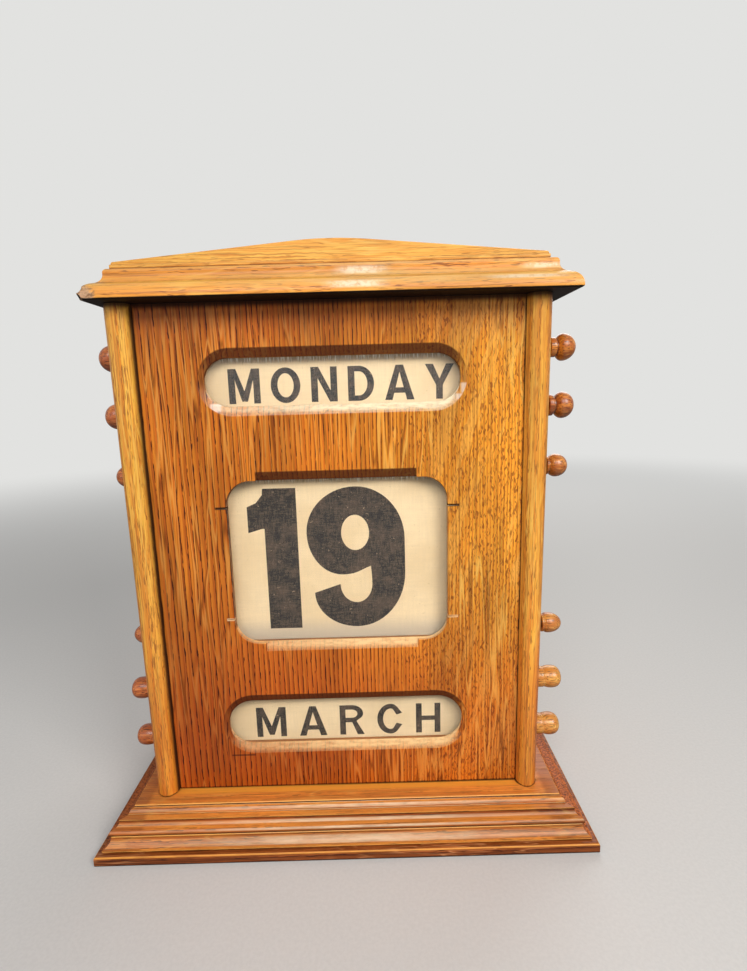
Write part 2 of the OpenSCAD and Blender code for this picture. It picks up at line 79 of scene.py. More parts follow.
makeCamera()
print("camera placed")


# small helpers for materials

def paint(red, green, blue):
    def linear(value):
        share = value / 255
        return share / 12.92 if share <= 0.04045 else ((share + 0.055) / 1.055) ** 2.4
    return (linear(red), linear(green), linear(blue), 1.0)


def addNode(tree, kind, inputs=None, **settings):
    made = tree.nodes.new("ShaderNode" + kind)
    for name, value in settings.items():
        setattr(made, name, value)
    for name, value in (inputs or {}).items():
        feed(tree, made.inputs[name], value)
    return made


def feed(tree, socket, value):
    if isinstance(value, bpy.types.NodeSocket):
        tree.links.new(value, socket)
    else:
        socket.default_value = value


def calc(tree, operation, first, second=0.0, third=0.0):
    made = addNode(tree, "Math", operation=operation)
    for socket, value in zip(made.inputs, (first, second, third)):
        feed(tree, socket, value)
    return made.outputs[0]


def ease(tree, value, low, high, start=0.0, end=1.0):
    wanted = {"Value": value, "From Min": low, "From Max": high, "To Min": start, "To Max": end}
    made = addNode(tree, "MapRange", wanted, interpolation_type="SMOOTHSTEP")
    return made.outputs["Result"]


def mixColour(tree, share, first, second, blend="MIX"):
    made = addNode(tree, "Mix", data_type="RGBA", blend_type=blend)
    feed(tree, made.inputs[0], share)
    feed(tree, made.inputs[6], first)
    feed(tree, made.inputs[7], second)
    return made.outputs[2]


def stretch(tree, vector, sizes):
    made = addNode(tree, "VectorMath", operation="DIVIDE")
    feed(tree, made.inputs[0], vector)
    made.inputs[1].default_value = sizes
    return made.outputs[0]


def cloud(tree, vector, detail=2.0, rough=0.5, twist=0.0):
    wanted = {"Vector": vector, "Scale": 1.0, "Detail": detail, "Roughness": rough, "Distortion": twist}
    return addNode(tree, "TexNoise", wanted).outputs["Fac"]


def addBump(tree, surface, height, strength, depth):
    bump = addNode(tree, "Bump", {"Height": height, "Strength": strength, "Distance": depth * mm})
    feed(tree, surface.inputs["Normal"], bump.outputs[0])


def blend(tree, share, first, second, output):
    both = addNode(tree, "MixShader", {0: share, 1: first.outputs[0], 2: second.outputs[0]})
    feed(tree, output.inputs["Surface"], both.outputs[0])


def newMaterial(name):
    material = bpy.data.materials.new(name)
    material.use_nodes = True
    tree = material.node_tree
    tree.nodes.clear()
    output = addNode(tree, "OutputMaterial")
    surface = addNode(tree, "BsdfPrincipled")
    tree.links.new(surface.outputs[0], output.inputs["Surface"])
    return material, tree, surface


# oak: the pattern is worked out in millimetres, with the grain along its third axis.
# two numbers together are mostly where a change begins and where it ends

oakDefaults = {
    "alongX": False,
    "shift": (0, 0, 0),
    "pale": (226, 146, 56),
    "deep": (184, 96, 32),
    "pore": (84, 30, 8),
    "shade": (0.78, 1.14),
    "shadeSize": (30, 30, 120),
    # growth rings round a far pith
    "pith": (-420, 90),
    "ringPitch": 3.6,
    "ringTighten": 0.0,
    "ringWarp": 2.6,
    "warpSize": (22, 22, 130),
    "jitter": 0.5,
    "jitterSize": (2.5, 2.5, 5),
    "wander": 0.0,
    "wanderSize": (7, 7, 22),
    "earlyWood": (0.06, 0.26),
    "lateWood": (0.3, 1.0),
    # pores: long dashes, and short ones past a place across the board
    "dashSize": (0.85, 0.85, 11),
    "dashGate": 0.68,
    "dashBand": 0.2,
    "dashAmount": 0.92,
    "shortFrom": (400, 440),
    "shortDash": (0.75, 0.75, 4.2),
    "shortWave": 1.6,
    "shortGate": 0.58,
    "shortBand": 0.05,
    "shortAmount": 0.92,
    "shortPore": (84, 30, 8),
    "poreEdge": 20.0,
    # fibres, fine lines, and veins along the rings
    "fibreSize": (0.8, 0.8, 30),
    "fibreGate": (0.36, 0.64),
    "fibreAmount": 0.6,
    "lineSize": (0.9, 0.9, 70),
    "lineGate": (0.5, 0.66),
    "lineAmount": 0.35,
    "veinSize": (3, 3, 9),
    "veinGate": (0.4, 0.52),
    "veinWidth": 0.1,
    "veinReach": (0, 80),
    "veinAmount": 0.0,
    # silver rays: thin pale ridges, each with a dark line beside it
    "rays": (255, 204, 104),
    "raySize": (6, 6, 46),
    "rayPatch": (50, 50, 80),
    "rayGate": (0.4, 0.56),
    "rayWidth": 0.05,
    "rayAmount": 0.8,
    # pale streaks that lean across the grain
    "slantColour": (255, 190, 84),
    "slantSize": (6, 6, 55),
    "slantLean": -0.26,
    "slantReach": (44, 70),
    "slantAmount": 0.0,
    # stain over the left side and the foot of a board, and painted shadow over its head
    "tintLeft": (255, 255, 255),
    "tintReach": (-60, 110),
    "tintLow": (255, 255, 255),
    "lowReach": (70, 170),
    "shadeHigh": (255, 255, 255),
    "shadeHighReach": (300, 332),
    # ends of the fibres, painted shade on undersides and steep faces, and a painted sheen on faces that look
    # up
    "endGrain": (74, 28, 8),
    "endHatch": (1.2, 1.2, 1),
    "endAmount": 0.85,
    "under": (38, 12, 3),
    "underAmount": 0.9,
    "steepShade": (116, 54, 20),
    "steepShadeAmount": 0.0,
    "upper": (242, 196, 146),
    "upperSheenAmount": 0.0,
    "upperSheenSpread": (0, 500, 600, 1.0),
    # dirt and painted shade in the hollows, dark joints, painted shadow under the cornice and painted shade
    # on an inner flank, and bare wood with a painted highlight on the arrises
    "grimeAndShade": (34, 11, 3),
    "grimeAndShadeAmount": 0.9,
    "worn": (252, 172, 82),
    "wornAndLitAmount": 0.8,
    "smearSize": (3, 3, 16),
    "seamX": 0.0,
    "seamZ": (0.0, 0.0),
    "seamFoot": (0.2, 1.3),
    "corniceShadowReach": (-4.5, -0.8),
    "innerShadeX": 0.0,
    "innerShadeWide": (0.8, 2.4),
    "innerShadeDeep": (-43.5, -40.5),
    "marks": (),
    # polish
    "rough": (0.34, 0.6),
    "coat": 0.4,
    "coatRough": 0.26,
    "shine": 0.25,
    "bump": 0.12,
}
white = (1.0, 1.0, 1.0, 1.0)
black = (0.0, 0.0, 0.0, 1.0)


def inMillimetres(tree, vector, shift=(0, 0, 0), alongX=False):
    scaled = addNode(tree, "Mapping", {"Vector": vector, "Scale": (1 / mm, 1 / mm, 1 / mm)})
    scaled.inputs["Location"].default_value = shift
    if alongX:
        scaled.inputs["Rotation"].default_value = (0, -math.pi / 2, 0)
    return scaled.outputs[0]


def apart(tree, vector):
    return addNode(tree, "SeparateXYZ", {"Vector": vector}).outputs


def together(tree, x, y, z):
    return addNode(tree, "CombineXYZ", {"X": x, "Y": y, "Z": z}).outputs[0]


def times(tree, first, second):
    return calc(tree, "MULTIPLY", first, second)


def less(tree, first, second):
    return calc(tree, "SUBTRACT", first, second)


def most(tree, first, second):
    return calc(tree, "MAXIMUM", first, second)


def absolute(tree, value):
    return calc(tree, "ABSOLUTE", value)


def reachOf(tree, *offsets):
    total = 0.0
    for offset in offsets:
        total = calc(tree, "ADD", total, times(tree, offset, offset))
    return calc(tree, "SQRT", total)


def between(tree, share, first, second):
    return addNode(tree, "Mix", {0: share, 2: first, 3: second}, data_type="FLOAT").outputs[0]


def within(tree, value, middle, half, soft):
    return ease(tree, absolute(tree, less(tree, value, middle)), half, half + soft, 1.0, 0.0)


def patches(tree, vector, sizes, detail=2.0, rough=0.5, twist=0.0):
    return cloud(tree, stretch(tree, vector, sizes), detail, rough, twist)


def growthRings(tree, look, spot, parts):
    # pushed sideways by a slow wave, a small shiver and a wander between the two
    wave = less(tree, patches(tree, spot, look["warpSize"], 2.0, 0.45), 0.5)
    shiver = less(tree, patches(tree, spot, look["jitterSize"], 1.0), 0.5)
    wander = less(tree, patches(tree, spot, look["wanderSize"], 1.0), 0.5)
    push = times(tree, wave, look["ringWarp"] * 2)
    push = calc(tree, "MULTIPLY_ADD", shiver, look["jitter"] * 2, push)
    push = calc(tree, "MULTIPLY_ADD", wander, look["wander"] * 2, push)
    across = calc(tree, "ADD", parts["X"], push)
    pithX, pithY = look["pith"]
    reach = reachOf(tree, less(tree, across, pithX), less(tree, parts["Y"], pithY))
    tight = calc(tree, "MULTIPLY_ADD", parts["X"], look["ringTighten"], 1 / look["ringPitch"])
    return across, shiver, times(tree, reach, tight)


def openPores(tree, look, parts, across, shiver, early, shorter):
    # dark dashes, thick in the early wood and sparse in the late wood
    grainSpot = together(tree, across, parts["Y"], parts["Z"])
    dashes = patches(tree, grainSpot, look["dashSize"], 1.0)
    wavy = calc(tree, "MULTIPLY_ADD", shiver, look["shortWave"], across)
    shortDashes = patches(tree, together(tree, wavy, parts["Y"], parts["Z"]), look["shortDash"], 1.0)
    longGate = calc(tree, "MULTIPLY_ADD", early, -look["dashBand"], look["dashGate"])
    shortGate = calc(tree, "MULTIPLY_ADD", early, -look["shortBand"], look["shortGate"])
    gate = between(tree, shorter, longGate, shortGate)
    over = times(tree, less(tree, between(tree, shorter, dashes, shortDashes), gate), look["poreEdge"])
    return calc(tree, "MINIMUM", most(tree, over, 0.0), 1.0)


def oakGrain(tree, look, spot, world):
    parts = apart(tree, spot)
    pore = paint(*look["pore"])
    deep = paint(*look["deep"])
    across, shiver, turns = growthRings(tree, look, spot, parts)
    ringSide = calc(tree, "PINGPONG", turns, 0.5)
    late = ease(tree, calc(tree, "FRACT", turns), *look["lateWood"])
    early = ease(tree, ringSide, *look["earlyWood"], 1.0, 0.0)
    shorter = ease(tree, world["X"], *look["shortFrom"])
    pores = openPores(tree, look, parts, across, shiver, early, shorter)
    grainSpot = together(tree, across, parts["Y"], parts["Z"])
    lines = ease(tree, patches(tree, grainSpot, look["lineSize"], 2.0, 0.6), *look["lineGate"])
    fibre = patches(tree, grainSpot, look["fibreSize"], 3.0, 0.6)

    colour = mixColour(tree, late, paint(*look["pale"]), deep)
    colour = mixColour(tree, ease(tree, fibre, *look["fibreGate"], 0.0, look["fibreAmount"]), colour, deep)
    if look["slantAmount"]:
        leaning = calc(tree, "MULTIPLY_ADD", parts["Z"], look["slantLean"], across)
        streak = patches(tree, together(tree, leaning, parts["Y"], parts["Z"]), look["slantSize"], 3.0, 0.65)
        slant = times(tree, ease(tree, streak, 0.5, 0.62),
                      ease(tree, world["X"], *look["slantReach"], 0.0, look["slantAmount"]))
        colour = mixColour(tree, slant, colour, paint(*look["slantColour"]))
        pores = times(tree, pores, less(tree, 1.0, times(tree, slant, 0.9)))
    colour = mixColour(tree, times(tree, lines, look["lineAmount"]), colour, pore)
    if look["veinAmount"]:
        vein = times(tree, ease(tree, ringSide, 0.0, look["veinWidth"], 1.0, 0.0),
                     ease(tree, patches(tree, spot, look["veinSize"], 2.0, 0.6), *look["veinGate"]))
        leftward = ease(tree, world["X"], *look["veinReach"], look["veinAmount"], look["veinAmount"] * 0.3)
        colour = mixColour(tree, times(tree, vein, leftward), colour, pore)
    poreAmount = between(tree, shorter, look["dashAmount"], look["shortAmount"])
    poreColour = mixColour(tree, shorter, pore, paint(*look["shortPore"]))
    colour = mixColour(tree, times(tree, pores, poreAmount), colour, poreColour)

    patch = ease(tree, patches(tree, spot, look["rayPatch"], 1.0), *look["rayGate"])
    field = patches(tree, spot, look["raySize"], 1.0, 0.5, 0.35)
    ridge = absolute(tree, less(tree, field, 0.5))
    rays = times(tree, ease(tree, ridge, 0.0, look["rayWidth"], 1.0, 0.0), patch)
    beside = absolute(tree, less(tree, field, 0.5 + look["rayWidth"] * 1.5))
    beside = times(tree, ease(tree, beside, 0.0, look["rayWidth"] * 0.8, 0.6, 0.0), patch)
    colour = mixColour(tree, times(tree, rays, look["rayAmount"]), colour, paint(*look["rays"]))
    colour = mixColour(tree, times(tree, beside, look["rayAmount"]), colour, pore)
    return colour, across, pores, fibre


def oakStain(tree, look, spot, world, colour):
    side = ease(tree, world["X"], *look["tintReach"])
    low = ease(tree, world["Z"], *look["lowReach"])
    # painted shadow under the cornice over the head of the board
    high = ease(tree, world["Z"], *look["shadeHighReach"])
    for tint in (mixColour(tree, side, paint(*look["tintLeft"]), white),
                 mixColour(tree, low, paint(*look["tintLow"]), white),
                 mixColour(tree, high, white, paint(*look["shadeHigh"]))):
        colour = mixColour(tree, 1.0, colour, tint, "MULTIPLY")
    shade = ease(tree, patches(tree, spot, look["shadeSize"]), 0.3, 0.7, *look["shade"])
    return mixColour(tree, 1.0, colour, together(tree, shade, shade, shade), "MULTIPLY")


def paintedSheen(tree, look, world, facing, smear):
    # a pale painted sheen on what slopes up to the light, strongest in the middle
    upwardSheen = times(tree, ease(tree, facing["Z"], 0.2, 0.5), ease(tree, facing["Z"], 0.84, 0.97, 1.0, 0.0))
    middle, near, far, least = look["upperSheenSpread"]
    fromMiddle = absolute(tree, less(tree, world["X"], middle))
    upwardSheen = times(tree, upwardSheen, ease(tree, fromMiddle, near, far, 1.0, least))
    return times(tree, upwardSheen, times(tree, ease(tree, smear, 0.3, 0.65, 0.6, 1.0), look["upperSheenAmount"]))


def paintDirtAndShade(tree, look, world, smear, crease):
    # painted shade with dirt in the hollows, dark seams at the sides and the foot, painted shade on the
    # inner flank of the left side board and painted shadow under the cornice
    dirtAndShade = times(tree, ease(tree, crease, 0.05, 0.6), ease(tree, smear, 0.25, 0.6, 0.6, 1.0))
    dirtAndShade = times(tree, dirtAndShade, look["grimeAndShadeAmount"])
    wobble = times(tree, less(tree, smear, 0.5), 1.4)
    sideways = absolute(tree, world["X"])
    if look["seamX"]:
        seam = ease(tree, calc(tree, "ADD", sideways, wobble), look["seamX"] - 0.9, look["seamX"])
        dirtAndShade = most(tree, dirtAndShade, times(tree, seam, 0.95))
    # painted shade on the left side board's inner flank, darker towards the panel
    if look["innerShadeX"]:
        near, far = (look["innerShadeX"] + edge for edge in look["innerShadeWide"])
        inner = times(tree, ease(tree, sideways, near, far, 1.0, 0.0),
                      ease(tree, world["Y"], *look["innerShadeDeep"], 0.2, 0.95))
        dirtAndShade = most(tree, dirtAndShade, inner)
    foot, head = look["seamZ"]
    if foot:
        near, far = (foot + edge for edge in look["seamFoot"])
        dirtAndShade = most(tree, dirtAndShade, ease(tree, calc(tree, "ADD", world["Z"], wobble), near, far, 0.9, 0.0))
    # painted shadow just under the cornice
    if head:
        near, far = (head + edge for edge in look["corniceShadowReach"])
        dirtAndShade = most(tree, dirtAndShade, ease(tree, world["Z"], near, far, 0.0, 0.92))
    return dirtAndShade


def oak(name, **changes):
    look = oakDefaults | changes
    material, tree, surface = newMaterial(name)
    place = addNode(tree, "TexCoord")
    world = apart(tree, inMillimetres(tree, place.outputs["Object"]))
    facing = apart(tree, place.outputs["Normal"])
    spot = inMillimetres(tree, place.outputs["Object"], look["shift"], look["alongX"])
    colour, across, pores, fibre = oakGrain(tree, look, spot, world)
    colour = oakStain(tree, look, spot, world, colour)

    # the ends of the fibres soak up stain; faces that look down get painted shade and less polish, steep
    # faces painted shade, and faces that look up a painted sheen
    endways = absolute(tree, facing["X" if look["alongX"] else "Z"])
    hatch = patches(tree, together(tree, across, apart(tree, spot)["Y"], 0.0), look["endHatch"], 1.0)
    ends = times(tree, ease(tree, endways, 0.3, 0.75, 0.0, look["endAmount"]),
                 ease(tree, hatch, 0.42, 0.58, 0.7, 1.0))
    colour = mixColour(tree, ends, colour, paint(*look["endGrain"]))
    smear = patches(tree, spot, look["smearSize"], 3.0, 0.6)
    shadeBelowAndDull = ease(tree, times(tree, facing["Z"], -1.0), 0.06, 0.36, 0.0, look["underAmount"])
    # painted shade on steep and vertical faces
    if look["steepShadeAmount"]:
        steepShade = ease(tree, facing["Z"], 0.02, 0.4, look["steepShadeAmount"], 0.0)
        colour = mixColour(tree, steepShade, colour, paint(*look["steepShade"]))
    colour = mixColour(tree, paintedSheen(tree, look, world, facing, smear), colour, paint(*look["upper"]))
    colour = mixColour(tree, shadeBelowAndDull, colour, paint(*look["under"]))

    # dirt and painted shade stay in the hollows; the dirt wears off the arrises, which show bare wood with a
    # painted highlight
    crease = addNode(tree, "Attribute", attribute_name="crease").outputs["Fac"]
    dirtAndShade = paintDirtAndShade(tree, look, world, smear, crease)
    worn = times(tree, ease(tree, times(tree, crease, -1.0), 0.12, 0.6),
                 ease(tree, smear, 0.3, 0.6, 0.45, 1.0))
    colour = mixColour(tree, times(tree, worn, look["wornAndLitAmount"]), colour, paint(*look["worn"]))
    colour = mixColour(tree, dirtAndShade, colour, paint(*look["grimeAndShade"]))
    for mark in look["marks"]:
        colour, dirtAndShade = mark(tree, world, facing, colour, dirtAndShade)

    feed(tree, surface.inputs["Base Color"], colour)
    dull = most(tree, most(tree, dirtAndShade, shadeBelowAndDull), times(tree, ends, 0.8))
    rough = ease(tree, calc(tree, "ADD", pores, dull), 0.0, 1.0, *look["rough"])
    feed(tree, surface.inputs["Roughness"], rough)
    feed(tree, surface.inputs["Coat Weight"], calc(tree, "MULTIPLY_ADD", dull, -look["coat"], look["coat"]))
    surface.inputs["Specular IOR Level"].default_value = look["shine"]
    surface.inputs["Coat Roughness"].default_value = look["coatRough"]
    surface.inputs["Coat IOR"].default_value = 1.5
    height = calc(tree, "MULTIPLY_ADD", pores, -1.0, times(tree, fibre, 0.35))
    addBump(tree, surface, height, 0.6, look["bump"])
    return material


# boards: a copy of each board's mesh, merged, with its arrises eased

meshLook = {"merge": 0.002, "flat": 0.6, "creaseReach": 3, "creaseGain": 2.5}


def freshMesh(name, flatten=True):
    copy = bmesh.new()
    copy.from_mesh(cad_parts[name].data)
    bmesh.ops.remove_doubles(copy, verts=copy.verts, dist=meshLook["merge"] * mm)
    if flatten:
        bmesh.ops.dissolve_limit(copy, angle_limit=math.radians(meshLook["flat"]), verts=copy.verts,
                                 edges=copy.edges)
    return copy


def easeArrises(copy, size, sharpest=22, only=None, segments=2):
    chosen = []
    for edge in copy.edges:
        if len(edge.link_faces) != 2 or edge.calc_face_angle(0) < math.radians(sharpest):
            continue
        if only is None or only(edge):
            chosen.append(edge)
    bmesh.ops.bevel(copy, geom=chosen, offset=size * mm, offset_type="OFFSET", segments=segments,
                    profile=0.5, affect="EDGES", material=-1, clamp_overlap=False)


def addCrease(copy):
    # above 0 in a hollow and below 0 on a proud edge
    layer = copy.verts.layers.float.new("crease")
    copy.normal_update()
    for vert in copy.verts:
        leans = []
        for edge in vert.link_edges:
            if edge.calc_length() < meshLook["creaseReach"] * mm and len(edge.link_faces) == 2:
                away = (edge.other_vert(vert).co - vert.co).normalized()
                leans.append(away.dot(vert.normal))
        lean = meshLook["creaseGain"] * sum(leans) / len(leans) if len(leans) > 1 else 0.0
        vert[layer] = max(-1.0, min(1.0, lean))


def finishPiece(name, copy, material, body, slot, *nodes):
    data = bpy.data.meshes.new(name)
    copy.to_mesh(data)
    copy.free()
    if "custom_normal" in data.attributes:
        data.attributes.remove(data.attributes["custom_normal"])
    data.shade_smooth()
    data.materials.clear()
    data.materials.append(material)
    piece = bpy.data.objects.new(name, data)
    scene.collection.objects.link(piece)
    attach(piece, body)
    if nodes:
        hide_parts(*nodes)
    return piece


def steady(piece, sharp=40):
    # flat faces keep flat normals beside the eased arrises
    piece.data.set_sharp_from_angle(angle=math.radians(sharp))
    weighted = piece.modifiers.new("flats", "WEIGHTED_NORMAL")
    weighted.keep_sharp = True
    weighted.weight = 100
    return piece


def runsStraight(edge):
    # the arrises of a moulding run along the width or the depth; mitre lines do not
    way = edge.verts[0].co - edge.verts[1].co
    return edge.calc_length() > 5 * mm and (abs(way.x) > 0.99 * way.length or abs(way.y) > 0.99 * way.length)


def longEdge(edge):
    # the rims of the screw holes stay as they are
    return edge.calc_length() > 20 * mm


def makeBoard(node, name, material, slot, size=0.3, only=None, wear=None, flatten=True):
    copy = freshMesh(node, flatten)
    if wear:
        wear(copy)
    easeArrises(copy, size, only=only)
    addCrease(copy)
    return steady(finishPiece(name, copy, material, "case", slot, node))


# marks that only one board has, painted where its neighbours stand

sideLow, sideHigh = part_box("right_side_board")
caseInner, caseFoot, caseHead = sideLow.x / mm, sideLow.z / mm, sideHigh.z / mm
noseLook = {"deep": 13.0, "round": 7.5, "footLeft": 1.5, "footRight": 2.8, "headRight": 0.8}
footLook = {
    "level": (0.9, 0.98),
    "warm": (255, 168, 78), "warmAmount": 0.36,
    "strip": (255, 176, 62), "stripWide": (106, 120), "stripDeep": (3.5, 6.5), "stripAmount": 0.72,
    "outer": (132, 60, 24), "outerFrom": (126, 130), "outerAmount": 0.5,
    "line": (40, 10, 3), "lineWide": (0.2, 1.5), "lineAmount": 0.9, "lineReach": (-60, 60), "lineLeast": 0.3,
    "jointWide": (0.3, 1.2), "jointAmount": 0.75, "jointReach": (-90, 60), "jointLeast": 0.35,
    "jointEnd": (caseInner, caseInner + 2),
}


def baseMarks(tree, world, facing, colour, dirtAndShade):
    # level faces warmer and yellower close to the panel, darker beyond the side boards; a painted shadow
    # round the feet of the side boards, strongest on the right, and a dark joint along the panel's foot
    look = footLook
    level = ease(tree, facing["Z"], *look["level"])
    sideways = absolute(tree, world["X"])
    inFront = less(tree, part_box("front_panel")[0].y / mm, world["Y"])
    colour = mixColour(tree, times(tree, level, look["warmAmount"]), colour, paint(*look["warm"]))
    strip = times(tree, ease(tree, sideways, *look["stripWide"], look["stripAmount"], 0.0), level)
    strip = times(tree, strip, ease(tree, inFront, *look["stripDeep"], 1.0, 0.0))
    colour = mixColour(tree, strip, colour, paint(*look["strip"]))
    outer = times(tree, ease(tree, sideways, *look["outerFrom"], 0.0, look["outerAmount"]), level)
    colour = mixColour(tree, outer, colour, paint(*look["outer"]))

    low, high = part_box("right_side_board")
    worn = ease(tree, world["X"], -1, 1, noseLook["footLeft"], noseLook["footRight"])
    halfWide = calc(tree, "MULTIPLY_ADD", worn, -0.5, (high.x - low.x) / 2 / mm)
    aside = less(tree, sideways, calc(tree, "ADD", halfWide, low.x / mm))
    ahead = most(tree, less(tree, low.y / mm + noseLook["round"], world["Y"]), 0.0)
    away = less(tree, reachOf(tree, aside, ahead), halfWide)
    line = times(tree, ease(tree, away, *look["lineWide"], look["lineAmount"], 0.0), level)
    line = times(tree, line, ease(tree, world["X"], *look["lineReach"], look["lineLeast"], 1.0))
    joint = times(tree, ease(tree, inFront, *look["jointWide"], look["jointAmount"], 0.0), level)
    joint = times(tree, joint, ease(tree, world["X"], *look["jointReach"], look["jointLeast"], 1.0))
    joint = times(tree, joint, ease(tree, sideways, *look["jointEnd"], 1.0, 0.0))
    line = most(tree, line, joint)
    colour = mixColour(tree, line, colour, paint(*look["line"]))
    return endMarks(tree, world, colour, most(tree, dirtAndShade, line))


endLook = {
    "mitre": (-0.4, 0.3), "top": (-0.5, -0.1), "hatch": (1.5, 1.1, 0.9), "hatchGate": (0.36, 0.6),
    "dark": (94, 38, 13), "pale": (212, 116, 56), "amount": 0.88, "dull": 0.7,
    "shadow": (70, 28, 10), "shadowReach": (-100, 100), "shadowAmount": 0.45,
}


def endMarks(tree, world, colour, dirtAndShade):
    # rough end grain on the mouldings at either end, beyond the mitre lines, with a painted shadow over the
    # left end
    look = endLook
    low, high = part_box("base_board")
    corner = (high.x + low.y) / mm
    beyond = calc(tree, "ADD", absolute(tree, world["X"]), world["Y"])
    zone = times(tree, ease(tree, beyond, *(corner + edge for edge in look["mitre"])),
                 ease(tree, world["Z"], *(high.z / mm + edge for edge in look["top"]), 1.0, 0.0))
    hatch = patches(tree, together(tree, world["X"], world["Y"], world["Z"]), look["hatch"], 3.0, 0.65)
    grain = ease(tree, hatch, *look["hatchGate"])
    rough = mixColour(tree, grain, paint(*look["dark"]), paint(*look["pale"]))
    shadow = ease(tree, world["X"], *look["shadowReach"], look["shadowAmount"], 0.0)
    rough = mixColour(tree, shadow, rough, paint(*look["shadow"]))
    colour = mixColour(tree, times(tree, zone, look["amount"]), colour, rough)
    return colour, most(tree, dirtAndShade, times(tree, zone, look["dull"]))


# each cut: its side, height, length and colour
nickLook = {
    "height": 1.3, "depth": 3.4, "lap": 4.8, "shallow": 0.2,
    "cuts": (
        (-1, 216.4, 6.6, (30, 9, 3)),
        (1, 214.8, 6.8, (30, 9, 3)),
        (-1, 144.8, 4.6, (252, 216, 170)),
        (1, 143.2, 6.2, (250, 206, 150)),
    ),
}


def nickMarks(tree, world, facing, colour, dirtAndShade):
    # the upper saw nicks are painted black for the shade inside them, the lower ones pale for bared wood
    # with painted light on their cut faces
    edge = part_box("date_glass")[1].x / mm - nickLook["lap"]
    half = nickLook["height"] / 2
    for side, height, length, shade in nickLook["cuts"]:
        wide = within(tree, world["X"], side * (edge + length / 2), length / 2, 0.5)
        cut = times(tree, wide, within(tree, world["Z"], height, half * 0.75, 0.6))
        colour = mixColour(tree, times(tree, cut, 0.85), colour, paint(*shade))
    return colour, dirtAndShade


# each glint: its place across and up, and its half width and height
sillLook = {
    "slope": (0.2, 0.4), "paintedShadow": (70, 28, 8), "flankShade": (0.2, 0.55), "flankShadeAmount": 0.6,
    "lower": (255, 212, 150), "upper": (255, 238, 200), "height": (120, 260), "lowerSheenAmount": 0.92,
    "depth": (-38.9, -37.4), "depthLeast": 0.3, "across": (-75, 20), "acrossLeast": 0.45,
    "smear": (25 / 3, 1, 2), "smearGate": (0.3, 0.6), "smearLeast": 0.6,
    "glint": (255, 246, 232), "glintAmount": 0.8,
    "glints": ((-69.0, 276.5, 2.2, 1.6), (77.0, 284.5, 1.0, 2.2), (74.5, 279.5, 1.4, 1.0)),
    "cut": (60, 20, 6), "cutPlace": (-68.0, 49.6), "cutHalf": (7.0, 0.35), "cutAmount": 0.7,
}


def windowMarks(tree, world, facing, colour, dirtAndShade):
    # painted shade on the chamfers' left ends, a painted sheen on the sills, painted glints, and one saw cut
    # that ran too far
    look = sillLook
    level = ease(tree, facing["Z"], *look["slope"], 1.0, 0.0)
    flankShade = times(tree, ease(tree, facing["X"], *look["flankShade"], 0.0, look["flankShadeAmount"]), level)
    colour = mixColour(tree, flankShade, colour, paint(*look["paintedShadow"]))
    sillSheen = times(tree, ease(tree, facing["Z"], *look["slope"]),
                 ease(tree, world["Z"], *look["height"], look["lowerSheenAmount"], 1.0))
    sillSheen = times(tree, sillSheen, ease(tree, world["Y"], *look["depth"], look["depthLeast"], 1.0))
    smear = patches(tree, together(tree, world["X"], 0.0, world["Z"]), look["smear"], 3.0, 0.65)
    sillSheen = times(tree, sillSheen, ease(tree, smear, *look["smearGate"], look["smearLeast"], 1.0))
    sillSheen = times(tree, sillSheen, ease(tree, world["X"], *look["across"], look["acrossLeast"], 1.0))
    height = ease(tree, world["Z"], *look["height"])
    sheenColour = mixColour(tree, height, paint(*look["lower"]), paint(*look["upper"]))
    colour = mixColour(tree, sillSheen, colour, sheenColour)
    # painted glints on the day window's corners
    for spotX, spotZ, wide, tall in look["glints"]:
        glint = times(tree, within(tree, world["X"], spotX, wide, 1.6),
                      within(tree, world["Z"], spotZ, tall, 1.4))
        glint = times(tree, glint, ease(tree, facing["Y"], -0.97, -0.85))
        colour = mixColour(tree, times(tree, glint, look["glintAmount"]), colour, paint(*look["glint"]))
    cutX, cutZ = look["cutPlace"]
    halfX, halfZ = look["cutHalf"]
    cut = times(tree, within(tree, world["X"], cutX, halfX, 1.5), within(tree, world["Z"], cutZ, halfZ, 0.5))
    return mixColour(tree, times(tree, cut, look["cutAmount"]), colour, paint(*look["cut"])), dirtAndShade


# each glint: its middle and half width, its foot and head, and its strength
brokenLook = {
    "patch": (2.5, 2.5, 2.0), "ragged": 9.0, "reach": (8, 11), "amount": 0.8,
    "dark": (110, 84, 66), "pale": (190, 156, 128), "glint": (255, 244, 214),
    "glints": ((19, 14, 347.5, 351.5, 0.7), (16, 16, 339.0, 342.5, 0.75), (119, 12, 348.0, 351.0, 0.6),
               (108, 22, 341.5, 343.5, 0.5)),
}


def chipMarks(tree, world, facing, colour, dirtAndShade):
    # weathered grey wood round the broken corner, and painted glints on the moulding
    look = brokenLook
    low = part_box("cornice_board")[0]
    away = reachOf(tree, *(less(tree, world[axis], value / mm) for axis, value in zip("XYZ", low)))
    patch = patches(tree, together(tree, world["X"], world["Y"], world["Z"]), look["patch"], 3.0, 0.6)
    near = calc(tree, "MULTIPLY_ADD", less(tree, patch, 0.5), look["ragged"], away)
    grey = times(tree, ease(tree, near, *look["reach"], look["amount"], 0.0),
                 ease(tree, facing["Z"], -0.6, -0.2))
    greyWood = mixColour(tree, ease(tree, patch, 0.4, 0.6), paint(*look["dark"]), paint(*look["pale"]))
    colour = mixColour(tree, grey, colour, greyWood)
    for middle, half, foot, head, amount in look["glints"]:
        tall = head - foot
        glint = times(tree, within(tree, world["X"], middle, half * 0.3, half),
                      within(tree, world["Z"], (foot + head) / 2, tall / 4, tall / 2))
        glint = times(tree, glint, ease(tree, patch, 0.36, 0.56, 0.5, 1.0))
        colour = mixColour(tree, times(tree, glint, amount), colour, paint(*look["glint"]))
    return colour, dirtAndShade


